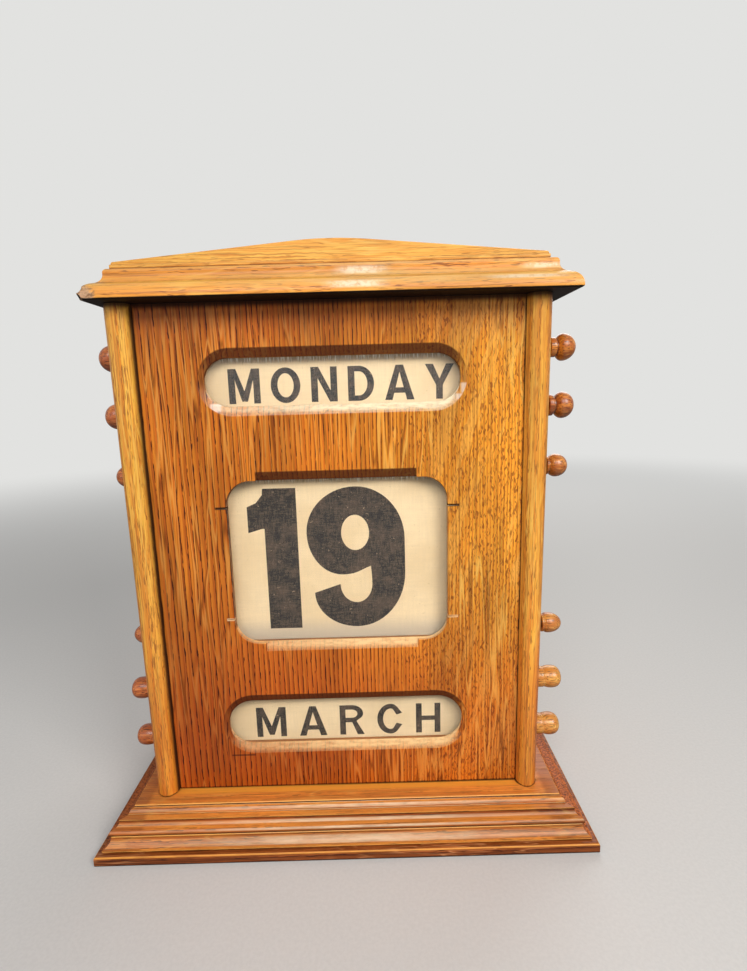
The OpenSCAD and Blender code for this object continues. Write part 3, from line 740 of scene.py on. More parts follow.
sideLook = {
    "pale": (255, 198, 74), "deep": (224, 136, 38), "pore": (132, 62, 12), "shade": (0.76, 1.12),
    "pith": (-300, 200), "ringPitch": 5.0, "jitter": 0.4,
    "dashSize": (0.55, 0.55, 7), "dashGate": 0.65, "dashBand": 0.12, "dashAmount": 0.85,
    "fibreAmount": 0.85, "lineAmount": 0.6,
    "rays": (255, 214, 104), "raySize": (2.6, 2.6, 44), "rayAmount": 0.5,
    "tintLow": (236, 196, 156), "lowReach": (60, 190), "seamZ": (caseFoot, caseHead), "coat": 0.3,
}
leftOak = oak("left_side_oak", **(sideLook | {"innerShadeX": caseInner, "shift": (40, 30, 0)}))
rightOak = oak("right_side_oak", **(sideLook | {"shift": (90, 10, 300), "tintLow": (244, 208, 170)}))
baseLook = {
    "alongX": True, "pale": (246, 150, 56), "deep": (196, 98, 32), "pore": (60, 20, 5),
    "shade": (0.78, 1.16), "pith": (220, -260), "ringPitch": 5.5, "warpSize": (16, 16, 120),
    "dashSize": (0.6, 0.6, 12), "dashGate": 0.69, "dashBand": 0.12, "dashAmount": 0.8,
    "fibreAmount": 0.85, "lineAmount": 0.7, "rayAmount": 0.25, "coat": 0.3, "coatRough": 0.3,
    "upper": (255, 218, 174), "upperSheenAmount": 0.76, "upperSheenSpread": (5, 20, 120, 0.3), "steepShadeAmount": 0.6,
    "grimeAndShade": (30, 9, 2), "grimeAndShadeAmount": 1.0, "worn": (255, 186, 92), "wornAndLitAmount": 1.0,
    "marks": (baseMarks,),
}
baseOak = oak("base_oak", **baseLook)
plinthOak = oak("plinth_oak", **(baseLook | {
    "pale": (186, 100, 44), "deep": (128, 62, 22), "shift": (0, 0, 70), "pith": (180, -220),
    "rays": (240, 168, 110), "raySize": (2, 2, 30), "rayAmount": 0.45, "seamZ": (0.4, 0.0), "coat": 0.12,
    "upper": (244, 166, 70), "upperSheenAmount": 0.9, "upperSheenSpread": (0, 500, 600, 1.0),
    "wornAndLitAmount": 0.0, "steepShadeAmount": 0.0, "marks": (),
}))
topLook = {
    "alongX": True, "pale": (255, 204, 90), "deep": (236, 150, 50), "pore": (120, 52, 14),
    "shade": (0.82, 1.12), "pith": (-260, 220), "ringPitch": 6.0,
    "dashSize": (0.65, 0.65, 9), "dashGate": 0.68, "dashBand": 0.1, "dashAmount": 0.75,
    "fibreAmount": 0.9, "lineAmount": 0.45, "rayAmount": 0.3, "coat": 0.4, "coatRough": 0.3,
    "under": (16, 6, 2), "underAmount": 1.0, "worn": (255, 220, 140), "wornAndLitAmount": 0.6,
    "upper": (255, 232, 170), "upperSheenAmount": 0.35, "upperSheenSpread": (40, 20, 120, 0.4), "grimeAndShade": (120, 52, 14),
    "marks": (chipMarks,),
}
topOak = oak("top_oak", **topLook)
gableOak = oak("gable_oak", **(topLook | {
    "pale": (252, 194, 88), "deep": (226, 148, 54), "shade": (0.84, 1.04), "shift": (30, 20, 0),
    "pith": (-200, 260), "ringPitch": 7.0, "dashBand": 0.06, "dashAmount": 0.5,
    "rays": (255, 212, 120), "raySize": (4, 4, 50), "seamZ": (354.1, 0.0),
    "upperSheenAmount": 0.0, "grimeAndShade": (96, 40, 12), "wornAndLitAmount": 0.0, "marks": (),
}))
backOak = oak("back_oak", **{
    "pale": (176, 124, 66), "deep": (150, 98, 48), "pore": (84, 48, 22), "ringPitch": 5.5, "rayAmount": 0.2,
    "endAmount": 0.5, "underAmount": 0.3, "coat": 0.0, "rough": (0.5, 0.7),
})
panelLook = {
    "pale": (250, 176, 52), "deep": (222, 130, 36), "pore": (70, 20, 4), "shade": (0.8, 1.18),
    "ringPitch": 9.3, "ringTighten": 0.00061, "earlyWood": (0.03, 0.2), "jitter": 0.3, "wander": 0.9,
    "dashSize": (0.8, 0.8, 7), "dashGate": 0.74, "dashBand": 0.26, "shortFrom": (10, 60),
    "shortDash": (0.72, 0.72, 3.6), "shortGate": 0.57, "shortAmount": 0.7, "shortPore": (120, 52, 12),
    "fibreAmount": 0.5, "veinAmount": 0.95,
    "rays": (255, 200, 92), "raySize": (4.5, 4.5, 85), "rayAmount": 0.85, "slantAmount": 0.55,
    "tintLeft": (226, 192, 186), "tintReach": (-40, 130), "tintLow": (228, 192, 180), "lowReach": (60, 190),
    "shadeHigh": (218, 204, 222), "endAmount": 0.3, "under": (70, 28, 8), "underAmount": 0.85,
    "seamX": caseInner, "seamZ": (caseFoot, caseHead), "coat": 0.28, "shine": 0.2, "bump": 0.18,
    "marks": (nickMarks, windowMarks),
}
panelOak = oak("panel_oak", **panelLook)


def wearNose(copy, side):
    # handled for years: the rounded front edge is slimmer on its outer side, most of all at the foot
    low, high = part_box("right_side_board")
    footWear = noseLook["footRight"] if side > 0 else noseLook["footLeft"]
    headWear = noseLook["headRight"] if side > 0 else 0.0
    for vert in copy.verts:
        behind = (vert.co.y - low.y) / mm
        outer = (abs(vert.co.x) - low.x) / (high.x - low.x)
        if behind < noseLook["deep"] and outer > 0:
            up = (vert.co.z - low.z) / (high.z - low.z)
            wear = footWear + (headWear - footWear) * up
            fade = 1 - (behind / noseLook["deep"]) ** 2
            vert.co.x -= side * wear * mm * fade * outer


for side, node, name, wood in ((-1, "left_side_board", "left_stile", leftOak),
                               (1, "right_side_board", "right_stile", rightOak)):
    makeBoard(node, name, wood, "oak_side", wear=lambda copy, side=side: wearNose(copy, side))
makeBoard("plinth_board", "plinth", plinthOak, "oak_base", 0.5, longEdge)
makeBoard("base_board", "moulded_base", baseOak, "oak_base", 0.45, runsStraight)
makeBoard("gable_block", "gable", gableOak, "oak_top", 0.35)
# a face with eight screw holes keeps its triangles
makeBoard("back_panel", "back_board", backOak, "oak_back", only=longEdge, flatten=False)


# cornice: moulded like the base, with its lower corner broken off at the front left

# each bite: how far past the corner its middle lies, its height and its radius
chipLook = {"rough": 0.9, "grain": 3.0, "bites": ((-1.6, -1.2, 5.2), (-1.3, 8.4, 5.6))}


def cutWith(piece, cutter, name):
    data = bpy.data.meshes.new(name)
    cutter.to_mesh(data)
    cutter.free()
    tool = bpy.data.objects.new(name, data)
    scene.collection.objects.link(tool)
    cut = piece.modifiers.new(name, "BOOLEAN")
    cut.object = tool
    cut.operation = "DIFFERENCE"
    cut.solver = "EXACT"
    result = bpy.data.meshes.new_from_object(piece.evaluated_get(bpy.context.evaluated_depsgraph_get()))
    piece.modifiers.clear()
    piece.data = result
    bpy.data.objects.remove(tool)


def makeCornice():
    copy = freshMesh("cornice_board")
    easeArrises(copy, 0.35, only=runsStraight)
    addCrease(copy)
    cornice = finishPiece("cornice", copy, topOak, "case", "oak_top", "cornice_board")
    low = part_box("cornice_board")[0]
    for outside, height, radius in chipLook["bites"]:
        cutter = bmesh.new()
        bmesh.ops.create_icosphere(cutter, subdivisions=3, radius=radius * mm)
        for vert in cutter.verts:
            push = noise.noise(vert.co / (chipLook["grain"] * mm))
            vert.co += vert.co.normalized() * push * chipLook["rough"] * mm
        bmesh.ops.translate(cutter, vec=low + Vector((outside, outside, height)) * mm, verts=cutter.verts)
        cutWith(cornice, cutter, "chip")
    steady(cornice)


makeCornice()
print("boards made")


# front panel: the same, with four saw nicks where the date window's corners begin

def cutNicks(panel):
    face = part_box("front_panel")[0].y
    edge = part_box("date_glass")[1].x - nickLook["lap"] * mm
    cutter = bmesh.new()
    for side, height, length, _ in nickLook["cuts"]:
        for vert in bmesh.ops.create_cube(cutter, size=1.0)["verts"]:
            outward = vert.co.x > 0
            inner = vert.co.y > 0
            vert.co.x = side * (edge + (length if outward else -1.0) * mm)
            depth = nickLook["shallow"] if inner and outward else nickLook["depth"]
            vert.co.y = face + (depth * mm if inner else -1.0 * mm)
            vert.co.z = (height + vert.co.z * nickLook["height"] * (0.5 if outward else 1.0)) * mm
    bmesh.ops.recalc_face_normals(cutter, faces=cutter.faces)
    cutWith(panel, cutter, "nicks")


# how round the windows' edges are, and the limits that an edge of theirs keeps to
roundLook = {"size": 0.55, "beforeGlass": 0.2, "inside": 1}


def roundWindow(edge):
    # the panel's own outer edges and the rebates behind the windows stay square
    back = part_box("date_glass")[0].y / mm - roundLook["beforeGlass"]
    side = caseInner - roundLook["inside"]
    foot = caseFoot + roundLook["inside"]
    head = caseHead - roundLook["inside"]
    places = [vert.co / mm for vert in edge.verts]
    return all(abs(x) < side and y < back and foot < z < head for x, y, z in places)


def makePanel():
    copy = freshMesh("front_panel")
    easeArrises(copy, roundLook["size"], sharpest=20, only=roundWindow, segments=3)
    addCrease(copy)
    panel = finishPiece("window_panel", copy, panelOak, "case", "oak_panel", "front_panel")
    cutNicks(panel)
    steady(panel, 30)


makePanel()
print("front panel made")


# knobs: turned on a lathe, with a neck, a groove and a ball. No two rollers have quite the same ones.
# "neck" is a share of the ball's radius, "front" how far the fullest part lies behind the tip,
# and "size" the share of the roller's largest knob for its left and its right one

knobLook = {
    "stem": 3.47,
    "ballLength": 11.8,
    "steps": 48,
    "arcSteps": 26,
    "neckLength": {"day": 4.4, "date": 1.9, "month": 5.2},
    "day_upper": {
        "neck": 0.72, "groove": 0.9, "grooveWidth": 0.8, "front": 8.2, "full": 2.0, "size": (1, 1),
    },
    "day_lower": {
        "neck": 0.8, "groove": 1.6, "grooveWidth": 1.5, "front": 7.4, "full": 2.1, "size": (0.96, 1),
    },
    "date_upper": {
        "neck": 0.8, "groove": 0.6, "grooveWidth": 0.7, "front": 7.6, "full": 2.1, "size": (0.95, 1),
    },
    "date_lower": {
        "neck": 0.9, "groove": 0.1, "grooveWidth": 0.5, "front": 9.2, "full": 2.1, "size": (0.92, 0.91),
    },
    "month_upper": {
        "neck": 0.93, "groove": 0.35, "grooveWidth": 0.6, "front": 6.8, "full": 2.5, "size": (0.93, 0.97),
    },
    "month_lower": {
        "neck": 0.93, "groove": 0.3, "grooveWidth": 0.5, "front": 7.2, "full": 2.5, "size": (0.9, 0.97),
    },
}
turnedLook = {
    "rings": (16, 1.9, 1.9), "pores": (4.5, 0.5, 0.5), "blotch": (7, 5, 5),
    "endAmount": 0.3, "underAmount": 0.55, "groove": (30, 12, 6), "grooveShadeAmount": 0.9,
    "rough": (0.3, 0.45), "shine": 0.35, "coat": 0.8, "coatRough": 0.26, "bump": 0.05,
}


def turnedWood(name, pale, deep, streak, shift):
    look = turnedLook
    material, tree, surface = newMaterial(name)
    place = addNode(tree, "TexCoord")
    facing = apart(tree, place.outputs["Normal"])
    spot = inMillimetres(tree, place.outputs["Object"], shift)
    rings = patches(tree, spot, look["rings"], 2.0, 0.5, 0.3)
    pores = patches(tree, spot, look["pores"], 1.0)
    blotch = patches(tree, spot, look["blotch"])
    colour = mixColour(tree, ease(tree, rings, 0.4, 0.62), paint(*pale), paint(*deep))
    colour = mixColour(tree, ease(tree, blotch, 0.4, 0.64, 0.1, 0.85), colour, paint(*deep))
    colour = mixColour(tree, ease(tree, pores, 0.56, 0.66, 0.0, 0.8), colour, paint(*streak))
    ends = ease(tree, absolute(tree, facing["X"]), 0.85, 1.0, 0.0, look["endAmount"])
    colour = mixColour(tree, ends, colour, paint(*streak))
    crease = addNode(tree, "Attribute", attribute_name="crease").outputs["Fac"]
    # painted shade in the groove
    groove = ease(tree, crease, 0.1, 0.6, 0.0, look["grooveShadeAmount"])
    colour = mixColour(tree, groove, colour, paint(*look["groove"]))
    # painted shade on the knob's underside
    knobShadeBelow = ease(tree, times(tree, facing["Z"], -1.0), -0.05, 0.7, 0.0, look["underAmount"])
    colour = mixColour(tree, knobShadeBelow, colour, paint(*streak))
    feed(tree, surface.inputs["Base Color"], colour)
    feed(tree, surface.inputs["Roughness"], ease(tree, blotch, 0.3, 0.7, *look["rough"]))
    surface.inputs["Specular IOR Level"].default_value = look["shine"]
    surface.inputs["Coat Weight"].default_value = look["coat"]
    surface.inputs["Coat Roughness"].default_value = look["coatRough"]
    addBump(tree, surface, pores, 0.4, look["bump"])
    return material


knobWoods = {
    "day_upper": turnedWood("knob_wood_a", (242, 158, 62), (190, 102, 32), (60, 24, 8), (3, 7, 1)),
    "day_lower": turnedWood("knob_wood_b", (226, 142, 64), (164, 82, 32), (46, 18, 7), (13, 2, 9)),
    "date_upper": turnedWood("knob_wood_c", (236, 156, 72), (184, 102, 38), (50, 20, 8), (5, 21, 6)),
    "date_lower": turnedWood("knob_wood_d", (240, 172, 84), (202, 120, 48), (70, 30, 12), (33, 4, 3)),
    "month_upper": turnedWood("knob_wood_e", (252, 190, 92), (222, 144, 58), (84, 40, 14), (8, 14, 27)),
    "month_lower": turnedWood("knob_wood_f", (250, 188, 94), (218, 140, 58), (80, 36, 12), (19, 31, 12)),
}
# a redder, darker copy of the knob wood for the left knobs: painted shade for the side away from the key
# lamp
shadedLeftKnobWood = turnedWood("knob_wood_shaded_left", (240, 144, 70), (192, 98, 42), (54, 22, 10), (4, 9, 15))


def knobOutline(shape, ball, neckLength, length):
    # depths from the knob's tip, and radii
    neck = shape["neck"] * ball
    throat = neck - shape["groove"] * mm
    stem = knobLook["stem"] * mm
    front = shape["front"] * mm
    full = 2 / shape["full"]
    ballLength = knobLook["ballLength"] * mm
    back = (ballLength - front) / math.sqrt(1 - (throat / ball) ** 2)
    frontSteps = knobLook["arcSteps"]
    backSteps = frontSteps // 2
    outline = [(0, 0)]
    for step in range(1, frontSteps + 1):
        turn = math.pi / 2 * step / frontSteps
        outline.append((front * (1 - max(0.0, math.cos(turn)) ** full), ball * math.sin(turn) ** full))
    for step in range(1, backSteps + 1):
        depth = (ballLength - front) * step / backSteps
        outline.append((front + depth, ball * math.sqrt(1 - (depth / back) ** 2)))

    # the groove, the neck with its eased ends, and the stem
    grooveWidth = shape["grooveWidth"] * mm
    neckStart = ballLength + grooveWidth
    neckEnd = ballLength + neckLength
    return outline + [
        (ballLength + grooveWidth * 0.35, throat - 0.06 * mm),
        (ballLength + grooveWidth * 0.7, throat),
        (neckStart, neck - 0.22 * mm),
        (neckStart + 0.25 * mm, neck - 0.05 * mm),
        (neckStart + 0.6 * mm, neck),
        (neckEnd - 0.5 * mm, neck),
        (neckEnd - 0.15 * mm, neck - 0.15 * mm),
        (neckEnd, neck - 0.5 * mm),
        (neckEnd, stem),
        (length, stem),
        (length, 0),
    ]


def makeKnob(roller, sideName):
    node = f"{roller}_{sideName}_knob"
    low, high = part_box(node)
    side = 1 if sideName == "right" else -1
    tip = high.x if side > 0 else low.x
    shape = knobLook[roller]
    ball = (high.z - low.z) / 2 * shape["size"][side > 0]
    centre = Vector((0, (low.y + high.y) / 2, (low.z + high.z) / 2))
    neckLength = knobLook["neckLength"][roller.split("_")[0]] * mm
    outline = knobOutline(shape, ball, neckLength, high.x - low.x)
    turned = bmesh.new()
    points = [turned.verts.new(centre + Vector((tip - side * depth, 0, radius)))
              for depth, radius in outline]
    edges = [turned.edges.new(pair) for pair in zip(points, points[1:])]
    bmesh.ops.spin(turned, geom=points + edges, cent=centre, axis=(1, 0, 0), angle=2 * math.pi,
                   steps=knobLook["steps"], use_merge=True)
    bmesh.ops.remove_doubles(turned, verts=turned.verts, dist=0.005 * mm)
    bmesh.ops.recalc_face_normals(turned, faces=turned.faces)
    addCrease(turned)
    wood = shadedLeftKnobWood if sideName == "left" else knobWoods[roller]
    piece = finishPiece(f"{roller}_{sideName}_turned_knob", turned, wood, roller, "knob_wood", node)
    piece.data.set_sharp_from_angle(angle=math.radians(50))


scrolls = ("day", "date", "month")
rollers = [f"{scroll}_{level}" for scroll in scrolls for level in ("upper", "lower")]
for roller in rollers:
    for sideName in ("left", "right"):
        makeKnob(roller, sideName)
print("knobs turned")


# rollers, wound linen, glazing beads, corner blocks and screws: plain solids with their own finish

def plainWood(name, pale, deep):
    material, tree, surface = newMaterial(name)
    place = addNode(tree, "TexCoord")
    spot = inMillimetres(tree, place.outputs["Object"], alongX=True)
    rings = patches(tree, spot, (2.5, 2.5, 70), 3.0, 0.55, 0.2)
    fibre = patches(tree, spot, (0.4, 0.4, 12))
    colour = mixColour(tree, ease(tree, rings, 0.3, 0.7), paint(*pale), paint(*deep))
    colour = mixColour(tree, ease(tree, fibre, 0.5, 0.75, 0.0, 0.5), colour, paint(*deep))
    feed(tree, surface.inputs["Base Color"], colour)
    surface.inputs["Roughness"].default_value = 0.55
    addBump(tree, surface, fibre, 0.4, 0.04)
    return material


def screwMetal(name, bright, dull):
    material, tree, surface = newMaterial(name)
    place = addNode(tree, "TexCoord")
    stain = patches(tree, inMillimetres(tree, place.outputs["Object"]), (2, 2, 2), 4.0, 0.6)
    colour = mixColour(tree, ease(tree, stain, 0.35, 0.65), paint(*bright), paint(*dull))
    feed(tree, surface.inputs["Base Color"], colour)
    surface.inputs["Metallic"].default_value = 1.0
    feed(tree, surface.inputs["Roughness"], ease(tree, stain, 0.3, 0.7, 0.25, 0.5))
    return material


def dress(node, material):
    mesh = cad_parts[node].data
    mesh.materials.clear()
    mesh.materials.append(material)


dowelWood = plainWood("dowel_wood", (214, 178, 124), (188, 144, 90))
beadWood = plainWood("bead_wood", (168, 112, 60), (134, 82, 40))
for roller in rollers:
    dress(f"{roller}_roller", dowelWood)
for scroll in scrolls:
    dress(f"{scroll}_glazing_beads", beadWood)
dress("corner_blocks", plainWood("block_pine", (214, 174, 112), (186, 138, 80)))
dress("back_screws", screwMetal("old_brass", (206, 160, 84), (128, 92, 44)))
dress("base_screws", screwMetal("old_steel", (150, 148, 144), (92, 84, 76)))


# linen: white cloth, sized and gone cream, tight between its rollers

linenLook = {"thick": 0.4, "across": 48, "pitch": 3.5, "lap": 4.8}
clothLook = {
    "pale": (240, 214, 170), "aged": (228, 200, 154), "stain": (40, 40, 30),
    "thread": (212, 188, 152), "weft": (14, 1, 0.45), "warp": (0.45, 1, 14),
    "speck": (150, 122, 84), "specks": (1.1, 1.1, 1.1),
    "paintedShadow": (150, 116, 76), "headShadowEdge": (-3.0, -0.5), "headShadowAmount": 0.45,
    "fringe": (0.9, 1, 9), "fringeDeep": 7.0,
    "litStreaks": (255, 246, 224), "litStreakLines": (0.55, 1, 14),
    "ends": (50, 84), "endAmount": 0.25,
    "foot": (176, 164, 148), "footDeep": 16, "footAmount": 0.75,
    "rough": 0.8, "sheen": 0.1, "bump": 0.04,
}


def linenCloth(name):
    look = clothLook
    material, tree, surface = newMaterial(name)
    place = addNode(tree, "TexCoord")
    spot = inMillimetres(tree, place.outputs["Object"])
    parts = apart(tree, spot)
    weft, warp = (patches(tree, spot, look[way], 2.0, 0.6) for way in ("weft", "warp"))
    threads = calc(tree, "ADD", weft, warp)
    stain = patches(tree, spot, look["stain"], 3.0, 0.55)
    specks = patches(tree, spot, look["specks"], 1.0)
    colour = mixColour(tree, ease(tree, stain, 0.35, 0.7), paint(*look["pale"]), paint(*look["aged"]))
    colour = mixColour(tree, ease(tree, threads, 0.8, 1.2, 0.0, 0.3), colour, paint(*look["thread"]))
    colour = mixColour(tree, ease(tree, specks, 0.74, 0.78, 0.0, 0.4), colour, paint(*look["speck"]))

    # painted shadow along the head of each window, fringed with painted highlight streaks, and painted shade
    # towards the cloth's ends
    fringe = less(tree, patches(tree, spot, look["fringe"], 2.0, 0.6), 0.5)
    above = calc(tree, "MULTIPLY_ADD", fringe, look["fringeDeep"], parts["Z"])
    threadLine = ease(tree, patches(tree, spot, look["litStreakLines"], 1.0), 0.52, 0.6)
    paintedShadow = 0.0
    litStreaks = 0.0
    for scroll in scrolls:
        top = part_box(f"{scroll}_glass")[1].z / mm
        head = top - linenLook["lap"]
        near = times(tree, ease(tree, above, *(head + edge for edge in look["headShadowEdge"])),
                     ease(tree, parts["Z"], top + 2, top + 4, 1.0, 0.0))
        paintedShadow = most(tree, paintedShadow, times(tree, near, look["headShadowAmount"]))
        litStreaks = most(tree, litStreaks, times(tree, near, threadLine))
    ends = ease(tree, absolute(tree, parts["X"]), *look["ends"], 0.0, look["endAmount"])
    colour = mixColour(tree, most(tree, paintedShadow, ends), colour, paint(*look["paintedShadow"]))
    colour = mixColour(tree, litStreaks, colour, paint(*look["litStreaks"]))
    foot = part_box("date_glass")[0].z / mm + linenLook["lap"]
    grey = times(tree, ease(tree, parts["Z"], foot, foot + look["footDeep"], look["footAmount"], 0.0),
                 ease(tree, parts["Z"], foot - 8, foot - 6))
    colour = mixColour(tree, grey, colour, paint(*look["foot"]))
    feed(tree, surface.inputs["Base Color"], colour)
    surface.inputs["Roughness"].default_value = look["rough"]
    surface.inputs["Sheen Weight"].default_value = look["sheen"]
    addBump(tree, surface, threads, 0.3, look["bump"])
    return material


linen = linenCloth("sized_linen")


def makeLinen(scroll):
    node = f"{scroll}_linen"
    low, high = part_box(node)
    width, height = high.x - low.x, high.z - low.z
    rows = round(height / mm / linenLook["pitch"])
    cloth = bmesh.new()
    bmesh.ops.create_grid(cloth, x_segments=linenLook["across"], y_segments=rows, size=0.5)
    bmesh.ops.scale(cloth, vec=(width, height, 1), verts=cloth.verts)
    bmesh.ops.rotate(cloth, cent=(0, 0, 0), matrix=Matrix.Rotation(math.pi / 2, 3, "X"), verts=cloth.verts)
    bmesh.ops.translate(cloth, vec=(0, low.y, (low.z + high.z) / 2), verts=cloth.verts)
    bmesh.ops.recalc_face_normals(cloth, faces=cloth.faces)
    for face in cloth.faces:
        if face.normal.y > 0:
            face.normal_flip()
    bmesh.ops.solidify(cloth, geom=cloth.faces[:], thickness=linenLook["thick"] * mm)
    bmesh.ops.recalc_face_normals(cloth, faces=cloth.faces)
    piece = finishPiece(f"{scroll}_scroll", cloth, linen, "case", "linen", node)
    piece.data.set_sharp_from_angle(angle=math.radians(40))
    print(scroll, "linen", [round(v / mm, 2) for v in (*low, *high)])


# letters and numerals: outlines in a box one unit high. "up" and "across" give the way a round point runs

roundness = 0.5523


def glyphs(stem, bar):
    def letterM(w=0.92):
        lean = stem * 1.2
        return w, [[(0, 0), (0, 1), (lean, 1), (w / 2, 0.36), (w - lean, 1), (w, 1), (w, 0), (w - stem, 0),
                    (w - stem, 0.68), (w / 2 + stem * 0.42, 0.06), (w / 2 - stem * 0.42, 0.06), (stem, 0.68),
                    (stem, 0)]]

    def letterO(w=0.86):
        half = w / 2
        return w, [
            [(half, 1.01, "across"), (w, 0.5, "up"), (half, -0.01, "across"), (0, 0.5, "up")],
            [(half, 1 - bar, "across"), (w - stem, 0.5, "up"), (half, bar, "across"), (stem, 0.5, "up")],
        ]

    def letterN(w=0.76):
        lean = stem * 1.15
        return w, [[(0, 0), (0, 1), (lean, 1), (w - stem, 0.32), (w - stem, 1), (w, 1), (w, 0),
                    (w - lean, 0), (stem, 0.68), (stem, 0)]]

    def letterD(w=0.76):
        return w, [
            [(0, 0), (0, 1), (w * 0.42, 1, "across"), (w, 0.5, "up"), (w * 0.42, 0, "across")],
            [(stem, bar), (stem, 1 - bar), (w * 0.42, 1 - bar, "across"), (w - stem, 0.5, "up"),
             (w * 0.42, bar, "across")],
        ]

    def letterA(w=0.86):
        foot = stem * 1.12
        point = stem * 0.56
        inside = 0.8

        def slope(height):
            return foot + (w / 2 - foot) * height / inside
        low = 0.2
        high = low + bar
        return w, [
            [(0, 0), (w / 2 - point, 1), (w / 2 + point, 1), (w, 0), (w - foot, 0), (w - slope(low), low),
             (slope(low), low), (foot, 0)],
            [(slope(high), high), (w / 2, inside), (w - slope(high), high)],
        ]

    def letterY(w=0.84):
        arm = stem * 1.18
        low, high = w / 2 - stem / 2, w / 2 + stem / 2
        return w, [[(low, 0), (low, 0.4), (0, 1), (arm, 1), (w / 2, 0.58), (w - arm, 1), (w, 1), (high, 0.4),
                    (high, 0)]]

    def letterR(w=0.76):
        waist = 0.42
        return w, [
            [(0, 0), (0, 1), (w * 0.5, 1, "across"), (w * 0.96, 0.715, "up"), (w * 0.68, 0.455), (w, 0),
             (w - stem * 1.2, 0), (w * 0.5, waist), (stem, waist), (stem, 0)],
            [(stem, waist + bar), (stem, 1 - bar), (w * 0.5, 1 - bar, "across"),
             (w * 0.96 - stem, 0.71, "up"), (w * 0.5, waist + bar, "across")],
        ]

    def letterC(w=0.8):
        return w, [[(w * 0.98, 0.7), (w * 0.52, 1.01, "across"), (0, 0.5, "up"), (w * 0.52, -0.01, "across"),
                    (w * 0.98, 0.3), (w * 0.98 - stem, 0.36), (w * 0.52, bar, "across"), (stem, 0.5, "up"),
                    (w * 0.52, 1 - bar, "across"), (w * 0.98 - stem, 0.64)]]

    def letterH(w=0.76):
        low = 0.5 - bar / 2
        high = 0.5 + bar / 2
        return w, [[(0, 0), (0, 1), (stem, 1), (stem, high), (w - stem, high), (w - stem, 1), (w, 1), (w, 0),
                    (w - stem, 0), (w - stem, low), (stem, low), (stem, 0)]]

    return {"M": letterM, "O": letterO, "N": letterN, "D": letterD, "A": letterA, "Y": letterY, "R": letterR,
            "C": letterC, "H": letterH}


def roundLoop(curve, outline, scale, left, foot):
    spline = curve.splines.new("BEZIER")
    spline.bezier_points.add(len(outline) - 1)
    spline.use_cyclic_u = True
    count = len(outline)

    def handle(point, neighbour):
        away = Vector(neighbour[:2]) - Vector(point[:2])
        if len(point) < 3:
            return Vector(point[:2]) + away / 3
        if point[2] == "up":
            return Vector((point[0], point[1] + away.y * roundness))
        return Vector((point[0] + away.x * roundness, point[1]))

    for index, point in enumerate(outline):
        before, after = outline[index - 1], outline[(index + 1) % count]
        made = spline.bezier_points[index]
        made.handle_left_type = made.handle_right_type = "FREE"
        for field, value in (("co", Vector(point[:2])), ("handle_left", handle(point, before)),
                             ("handle_right", handle(point, after))):
            setattr(made, field, (left + value.x * scale, foot + value.y * scale, 0))


inkLook = {
    "thick": 0.03, "lift": 0.015,
    "dark": (20, 15, 10), "faded": (66, 52, 40), "thread": (112, 92, 70), "rubbed": (186, 160, 124),
    "weft": (3.5, 1, 0.5), "warp": (0.5, 1, 3.5), "fading": (9, 9, 9), "rubbing": (2.4, 2.4, 2.4),
    "rough": 0.75, "bump": 0.04,
}


def inkMaterial(name):
    look = inkLook
    material, tree, surface = newMaterial(name)
    place = addNode(tree, "TexCoord")
    spot = inMillimetres(tree, place.outputs["Object"])
    weft, warp = (patches(tree, spot, look[way], 2.0, 0.65) for way in ("weft", "warp"))
    threads = calc(tree, "ADD", weft, warp)
    faded = patches(tree, spot, look["fading"], 3.0, 0.6)
    rubbed = patches(tree, spot, look["rubbing"], 3.0, 0.7)
    colour = mixColour(tree, ease(tree, faded, 0.4, 0.66), paint(*look["dark"]), paint(*look["faded"]))
    colour = mixColour(tree, ease(tree, threads, 0.98, 1.16, 0.0, 0.5), colour, paint(*look["thread"]))
    colour = mixColour(tree, ease(tree, rubbed, 0.66, 0.74, 0.0, 0.75), colour, paint(*look["rubbed"]))
    feed(tree, surface.inputs["Base Color"], colour)
    surface.inputs["Roughness"].default_value = look["rough"]
    addBump(tree, surface, threads, 0.3, look["bump"])
    return material


printInk = inkMaterial("printing_ink")


def inkPiece(name, scroll, loops):
    # loops: outline, size in millimetres, left edge and foot in millimetres
    curve = bpy.data.curves.new(name, "CURVE")
    curve.dimensions = "2D"
    curve.fill_mode = "BOTH"
    curve.resolution_u = 14
    curve.extrude = inkLook["thick"] * mm / 2
    for outline, scale, left, foot in loops:
        roundLoop(curve, outline, scale * mm, left * mm, foot * mm)
    flat = bpy.data.objects.new(name + "_curve", curve)
    scene.collection.objects.link(flat)
    data = bpy.data.meshes.new_from_object(flat.evaluated_get(bpy.context.evaluated_depsgraph_get()))
    bpy.data.objects.remove(flat)
    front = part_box(f"{scroll}_linen")[0].y
    shape = bmesh.new()
    shape.from_mesh(data)
    bpy.data.meshes.remove(data)
    bmesh.ops.remove_doubles(shape, verts=shape.verts, dist=0.001 * mm)
    bmesh.ops.rotate(shape, cent=(0, 0, 0), matrix=Matrix.Rotation(math.pi / 2, 3, "X"), verts=shape.verts)
    away = (inkLook["thick"] / 2 + inkLook["lift"]) * mm
    bmesh.ops.translate(shape, vec=(0, front - away, 0), verts=shape.verts)
    bmesh.ops.recalc_face_normals(shape, faces=shape.faces)
    piece = finishPiece(name, shape, printInk, "case", "linen")
    piece.data.set_sharp_from_angle(angle=math.radians(30))
    return piece


wordLook = {
    "day": {
        "word": "MONDAY", "height": 20.5, "foot": 278.5, "left": -62.5, "right": 72.0, "stem": 0.195,
        "bar": 0.156,
    },
    "month": {
        "word": "MARCH", "height": 21.5, "foot": 57.0, "left": -60.0, "right": 63.0, "stem": 0.18,
        "bar": 0.15,
    },
}


